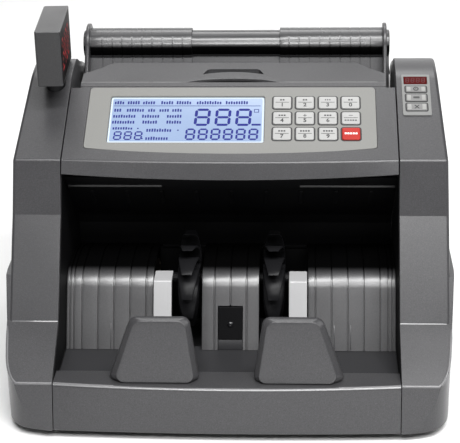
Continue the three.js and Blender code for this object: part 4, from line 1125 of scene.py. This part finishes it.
def polar(r, a0, a1, n):
    return [(r * math.cos(math.radians(a0 + (a1 - a0) * i / n)), r * math.sin(math.radians(a0 + (a1 - a0) * i / n))) for i in range(n + 1)]


ROLLM = plastic("hopper_roll", (0.045, 0.045, 0.0465), 0.26, speck=0.12, fleck=0.03, grain=0.12, broad=0.04, spec=0.6)
beam = Mesh()
beam.stack([(ROLL[0] + 10 * math.cos(2 * pi * i / 64), ROLL[1] + 10 * math.sin(2 * pi * i / 64)) for i in range(64)], ends(-111.5, 111.5, 0.8, 0.8, 3), along_x)
beam.stack(fillet([rest(4, -1.5), rest(4, 1.5), rest(58, 1.5), rest(58, -1.5)], 0.6, 3), ends(-111.4, 111.4, 0.4, 0.4, 2), along_x)
# faces on the underside of the roll and the guides; they take the roll grey that fades to black downwards, painted
# shade, with a stronger gloss
def under(c):
    dy, dz = ROLL[0] - c[1], c[2] - ROLL[1]
    return 8.6 < math.hypot(dy, dz) < 12.4 and math.degrees(math.atan2(dz, dy)) < 24 and dz < 4.6 and dy > -4



def slab(c):
    return c[2] < ROLL[1] - 5.5


beam.zone(1, under).zone(2, slab)
beam.make("hopper_roll", [ROLLM, ROLLB, SLABG], "chassis", "housing_grey", ("hopper_beam",), smooth=40)

GROOVES = [38.8, 45.9, 53.5, 60.9, 68.3, 75.7, 83.1, 90.1, 97.5]


def hopper_guide(s):
    m = Mesh()
    end = 250
    inner = polar(GUIDE_R0, end, 11, 40)
    levels = []
    for h, q in ends(32.0, 107.2, 0.35, 0.2, 3):
        levels.append((h, 0.0, q))
    w = 0.5
    for cgr in GROOVES:
        for dx, k in ((-w - 0.3, 0), (-w, 0), (-w * 0.9, 1.0), (w * 0.9, 1.0), (w, 0), (w + 0.3, 0)):
            levels.append((cgr + dx, 0.9 * k, 0.0))
    levels.sort()
    loops = []
    for x, g, q in levels:
        face = [(10.6 + (44 - 10.6) * k / 5, 3.2 - g) for k in range(6)]
        rim = []
        for p in polar(GUIDE_R1, 15.9, end, 48):
            k = max(0.12, min(1.0, (ROLL[1] + 8.8 - rest(*p)[1]) / 5.0))
            rim.append((p[0] * (1 - g * k / GUIDE_R1), p[1] * (1 - g * k / GUIDE_R1)))
        outer = [(44, 2.0)] + face[::-1] + rim
        lp = outer + inner
        pts = ccw([rest(*p) for p in lp])
        if q:
            pts = inset(pts, q)
        loops.append([(x, y, z) for y, z in pts])
    m.loops(loops)
    return m if s > 0 else mirrored(m)


def hopper_flange(s):
    prof = polar(FLANGE_R, 69, 250, 48) + polar(GUIDE_R0, 250, 11, 40) + [(44, 2.0), (44, 14.0)]
    pts = [rest(*p) for p in prof]
    m = Mesh().stack(pts, ends(106.6, 109.2, 0.5, 0.7, 3), along_x)
    # fillet between the shell and the flange
    loops = []
    for k in range(6):
        a = (pi / 2) * k / 5
        x = 106.9 - 0.9 * (1 - math.sin(a))
        r = GUIDE_R1 - 0.2 + 1.6 * (1 - math.cos(a))
        loops.append([(x, *rest(*p)) for p in polar(r, 30, 245, 40) + polar(GUIDE_R0 + 0.2, 245, 30, 40)])
    m.loops(loops)
    return m if s > 0 else mirrored(m)


for s, side in ((1, "right"), (-1, "left")):
    hopper_guide(s).zone(1, under).zone(2, slab).make(f"grooved_guide_{side}", [ROLLM, ROLLB, SLABG], f"hopper_guide_{side}", "housing_grey", (f"hopper_guide_{side}",), smooth=28)
    hopper_flange(s).make(f"guide_flange_{side}", GREY, f"hopper_guide_{side}", "housing_grey", smooth=35)

# ------------------------------------------------------------------ rear cover and its fittings
rc = Mesh()
rc.stack(rrect(-SEAM_X + 0.4, SEAM_X - 0.4, 9.4, 180, 1.0), ends(112.0, 114.5, 0.4, 0.7, 3), along_y)
rc.stack(rrect(-SEAM_X + 0.6, SEAM_X - 0.6, 98.5, 113.5, 0.8), ends(177.6, 179.9, 0.4, 0.4, 2), along_z)
rcuts = [Mesh().box(-100.3, -69.7, 100, 125, 20.7, 43.3, 0), Mesh().box(-61.3, -38.7, 100, 125, 24.7, 39.3, 0),
         Mesh().lathe([(100, 0.001), (100, 6.4), (125, 6.4), (125, 0.001)], (0, 150), "y", 40)]
for i in range(7):
    rcuts.append(Mesh().stack(rrect(20, 90, 30 + i * 7, 33 + i * 7, 1.45, 6), [(110, 0), (118, 0)], along_y))
rc.make("back_panel", GREY, "chassis", "housing_grey", ("rear_cover",), cuts=rcuts, bevel=(0.35, 2, 40), smooth=35, weighted=True)
trim = Mesh()
for x, z in ((-104, 171), (104, 171), (-104, 18), (104, 18), (0, 18), (0, 171)):
    trim.lathe([(113.6, 0.001), (113.6, 3.4), (114.6, 3.4), (115.1, 3.0), (115.3, 1.2), (114.9, 0.9), (114.9, 0.001)], (x, z), "y", 24)
trim.make("back_screws", STEEL, "chassis", "steel", smooth=40)
rib = Mesh()
for i in range(7):
    rib.box(21, 89, 110.2, 111.9, 29.2 + i * 7, 29.8 + i * 7, 0.1, 1)
rib.make("vent_louvres", BLACK, "chassis", "black_plastic")
socket_cut = Mesh().stack(fillet([(-97, 24), (-73, 24), (-73, 36), (-77, 40), (-93, 40), (-97, 36)], 0.8, 3), [(101, 0), (125, 0)], along_y)
sk = Mesh()
sk.stack(rrect(-100, -70, 21, 43, 1.4), ends(98, 116.5, 0.3, 0.8, 3), along_y)
sko = sk.make("inlet_body", BLACK, "chassis", "black_plastic", ("power_inlet",), cuts=[socket_cut], smooth=35)
pins = Mesh()
for x, z in ((-85, 35.5), (-91, 29.5), (-79, 29.5)):
    pins.box(x - 1, x + 1, z - 2, z + 2, 100.5, 110, 0.4, 2, place=along_y)
pins.make("inlet_pins", STEEL, "chassis", "steel", smooth=40)
rk = Mesh()
rk.stack(fillet([(107, 25.8), (113.4, 25.6), (118.6, 26.2), (116.2, 32), (116.6, 38.0), (113.4, 38.4), (107, 38.2)], [0.3, 0.3, 0.8, 4, 0.8, 0.3, 0.3], 4), ends(-60.5, -39.5, 0.5, 0.5, 3), along_x)
rk.make("rocker_cap", GLOSS, "switch_rocker", "gloss_black", ("switch_rocker",), smooth=35, weighted=True)
rm = Mesh()
rm.box(-52.6, -51.8, 26.9, 30.0, 117.95, 118.25, 0.05, 1, place=along_y)
kb = Mesh().lathe([(100, 0.001), (100, 5.8), (114.9, 5.8), (114.9, 8.6), (115.3, 9.0), (119.2, 8.8), (119.9, 8.0), (120.0, 6.5), (119.7, 0.001)], (0, 150), "y", 48)
for i in range(24):
    a = 2 * pi * i / 24
    kb.lathe([(115.4, 0.001), (115.4, 0.55), (119.1, 0.5), (119.3, 0.001)], (8.75 * math.cos(a), 150 + 8.75 * math.sin(a)), "y", 8)
kb.make("gap_knob", BLACK, "feed_gap_knob", "black_plastic", ("feed_gap_knob",), smooth=40)
kp = Mesh().box(-0.5, 0.5, 152.0, 157.4, 119.6, 120.1, 0.1, 1, place=along_y)
kp.make("gap_knob_mark", INKW, "feed_gap_knob", "black_plastic")
kd = Mesh()
for i in range(11):
    a = math.radians(-135 + 27 * i) + pi / 2
    kd.stack([(12.4 * math.cos(a + dq) * k, 150 + 12.4 * math.sin(a + dq) * k) for dq, k in ((-0.03, 1), (0.03, 1), (0.025, 1.18), (-0.025, 1.18))], [(114.45, 0), (114.58, 0)], along_y)
kd.make("gap_scale", INKW, "chassis", "housing_grey")

# ------------------------------------------------------------------ feet
for n in ("foot_front_left", "foot_front_right", "foot_rear_left", "foot_rear_right"):
    lo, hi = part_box(n)
    cx, cy = (lo.x + hi.x) / 2 / MM, (lo.y + hi.y) / 2 / MM
    Mesh().lathe([(0.0, 0.001), (0.0, 4.0), (0.5, 4.4), (0.5, 7.6), (0.0, 8.0), (0.0, 9.0), (0.5, 9.7), (5.0, 10.4), (5.6, 10.4), (5.6, 0.001)], (cx, cy), "z", 40).make(
        n + "_rubber", RUBBER, "chassis", "rubber_black", (n,), smooth=40)

# ------------------------------------------------------------------ what stays as CAD gets its material
# the impeller shaft takes the black grained plastic so it stays dark in the pocket: painted shade
kept = {"base_pan": SHEET, "impeller_shaft": BLACK, "feed_shaft": RUBBER, "pickup_shaft": RUBBER, "motor": CAN, "motor_rotor": STEEL,
        "drive_belt": RUBBER, "pickup_belt": RUBBER, "frame_plate_right": STEEL, "frame_plate_left": STEEL, "transformer": IRON, "main_board": BOARD}
for n, mat in kept.items():
    o = frame["nodes"][n]
    o.data.materials.clear()
    o.data.materials.append(mat)

# ------------------------------------------------------------------ floor, light, camera
FLOORM, nt, b = new_mat("floor_pale")
n1 = nt.nodes.new("ShaderNodeTexNoise")
n1.inputs["Scale"].default_value = 3
cr = nt.nodes.new("ShaderNodeValToRGB")
cr.color_ramp.elements[0].color, cr.color_ramp.elements[1].color = (0.86, 0.86, 0.86, 1), (0.88, 0.88, 0.88, 1)
nt.links.new(n1.outputs["Fac"], cr.inputs["Fac"])
nt.links.new(cr.outputs["Color"], b.inputs["Base Color"])
b.inputs["Roughness"].default_value = 0.7
b.inputs["Specular IOR Level"].default_value = 0.2
me = bpy.data.meshes.new("floor")
me.from_pydata([(-6, -6, 0), (6, -6, 0), (6, 6, 0), (-6, 6, 0)], [], [(0, 1, 2, 3)])
me.materials.append(FLOORM)
floor = bpy.data.objects.new("floor", me)
bpy.context.scene.collection.objects.link(floor)


def area(name, loc, target, sx, sy, power, color=(1, 1, 1)):
    li = bpy.data.lights.new(name, "AREA")
    li.shape, li.size, li.size_y, li.energy, li.color = "RECTANGLE", sx, sy, power, color
    o = bpy.data.objects.new(name, li)
    bpy.context.scene.collection.objects.link(o)
    o.location = loc
    o.rotation_euler = (Vector(target) - Vector(loc)).to_track_quat("-Z", "Y").to_euler()
    return o


area("top_rear", (0.0, 0.78, 1.30), (0, 0, 0.12), 0.8, 0.5, 7.0)
area("overhead", (-0.08, 0.30, 1.45), (0, 0, 0.15), 1.1, 0.5, 3.0)
area("front_high", (0.20, -0.62, 1.35), (0, 0, 0.12), 1.3, 0.25, 24.0)
area("front_mid", (0.30, -1.05, 1.11), (0, 0, 0.1), 1.2, 0.25, 10.5)
area("front_eye", (-0.03, -1.22, 0.69), (0, 0.1, 0.2), 0.40, 0.16, 4.5)
area("front_low", (0.15, -0.95, 0.06), (0, 0, 0.03), 0.9, 0.1, 1.0)
area("right_soft", (1.25, -0.10, 0.9), (0, 0, 0.1), 0.6, 0.6, 4.0)
area("rear_card", (0.0, 1.50, 0.68), (0, 0, 0.15), 2.2, 0.85, 8.0)

# the low front card lights only the hopper roll and its guides
hopper_lit = bpy.data.collections.new("hopper_lit")
for nm in ("hopper_roll", "grooved_guide_right", "grooved_guide_left"):
    hopper_lit.objects.link(bpy.data.objects[nm])
bpy.data.objects["front_eye"].light_linking.receiver_collection = hopper_lit

world = bpy.data.worlds.new("studio")
bpy.context.scene.world = world
world.use_nodes = True
bg = world.node_tree.nodes["Background"]
bg.inputs["Color"].default_value = (1, 1, 1, 1)
bg.inputs["Strength"].default_value = 0.08

az, el, roll = math.radians(3.12), math.radians(24.0), math.radians(-1.06)
sa, ca, se, ce = math.sin(az), math.cos(az), math.sin(el), math.cos(el)
d = Vector((-sa * ce, ca * ce, -se))
r = Vector((ca, sa, 0))
u = r.cross(d)
rr, uu = r * math.cos(roll) + u * math.sin(roll), -r * math.sin(roll) + u * math.cos(roll)
T = Vector((-0.0001, -0.022, 0.1131))
cam_data = bpy.data.cameras.new("camera")
cam_data.sensor_fit, cam_data.sensor_width, cam_data.lens = "HORIZONTAL", 36.0, 1474 / 460 * 36
cam_data.clip_start, cam_data.clip_end = 0.05, 50
cam = bpy.data.objects.new("camera", cam_data)
bpy.context.scene.collection.objects.link(cam)
rot = Matrix((rr, uu, -d)).transposed()
cam.matrix_world = Matrix.Translation(T - d) @ rot.to_4x4()
bpy.context.scene.camera = cam
bpy.context.scene.view_settings.view_transform = "Standard"
bpy.context.scene.view_settings.look = "None"
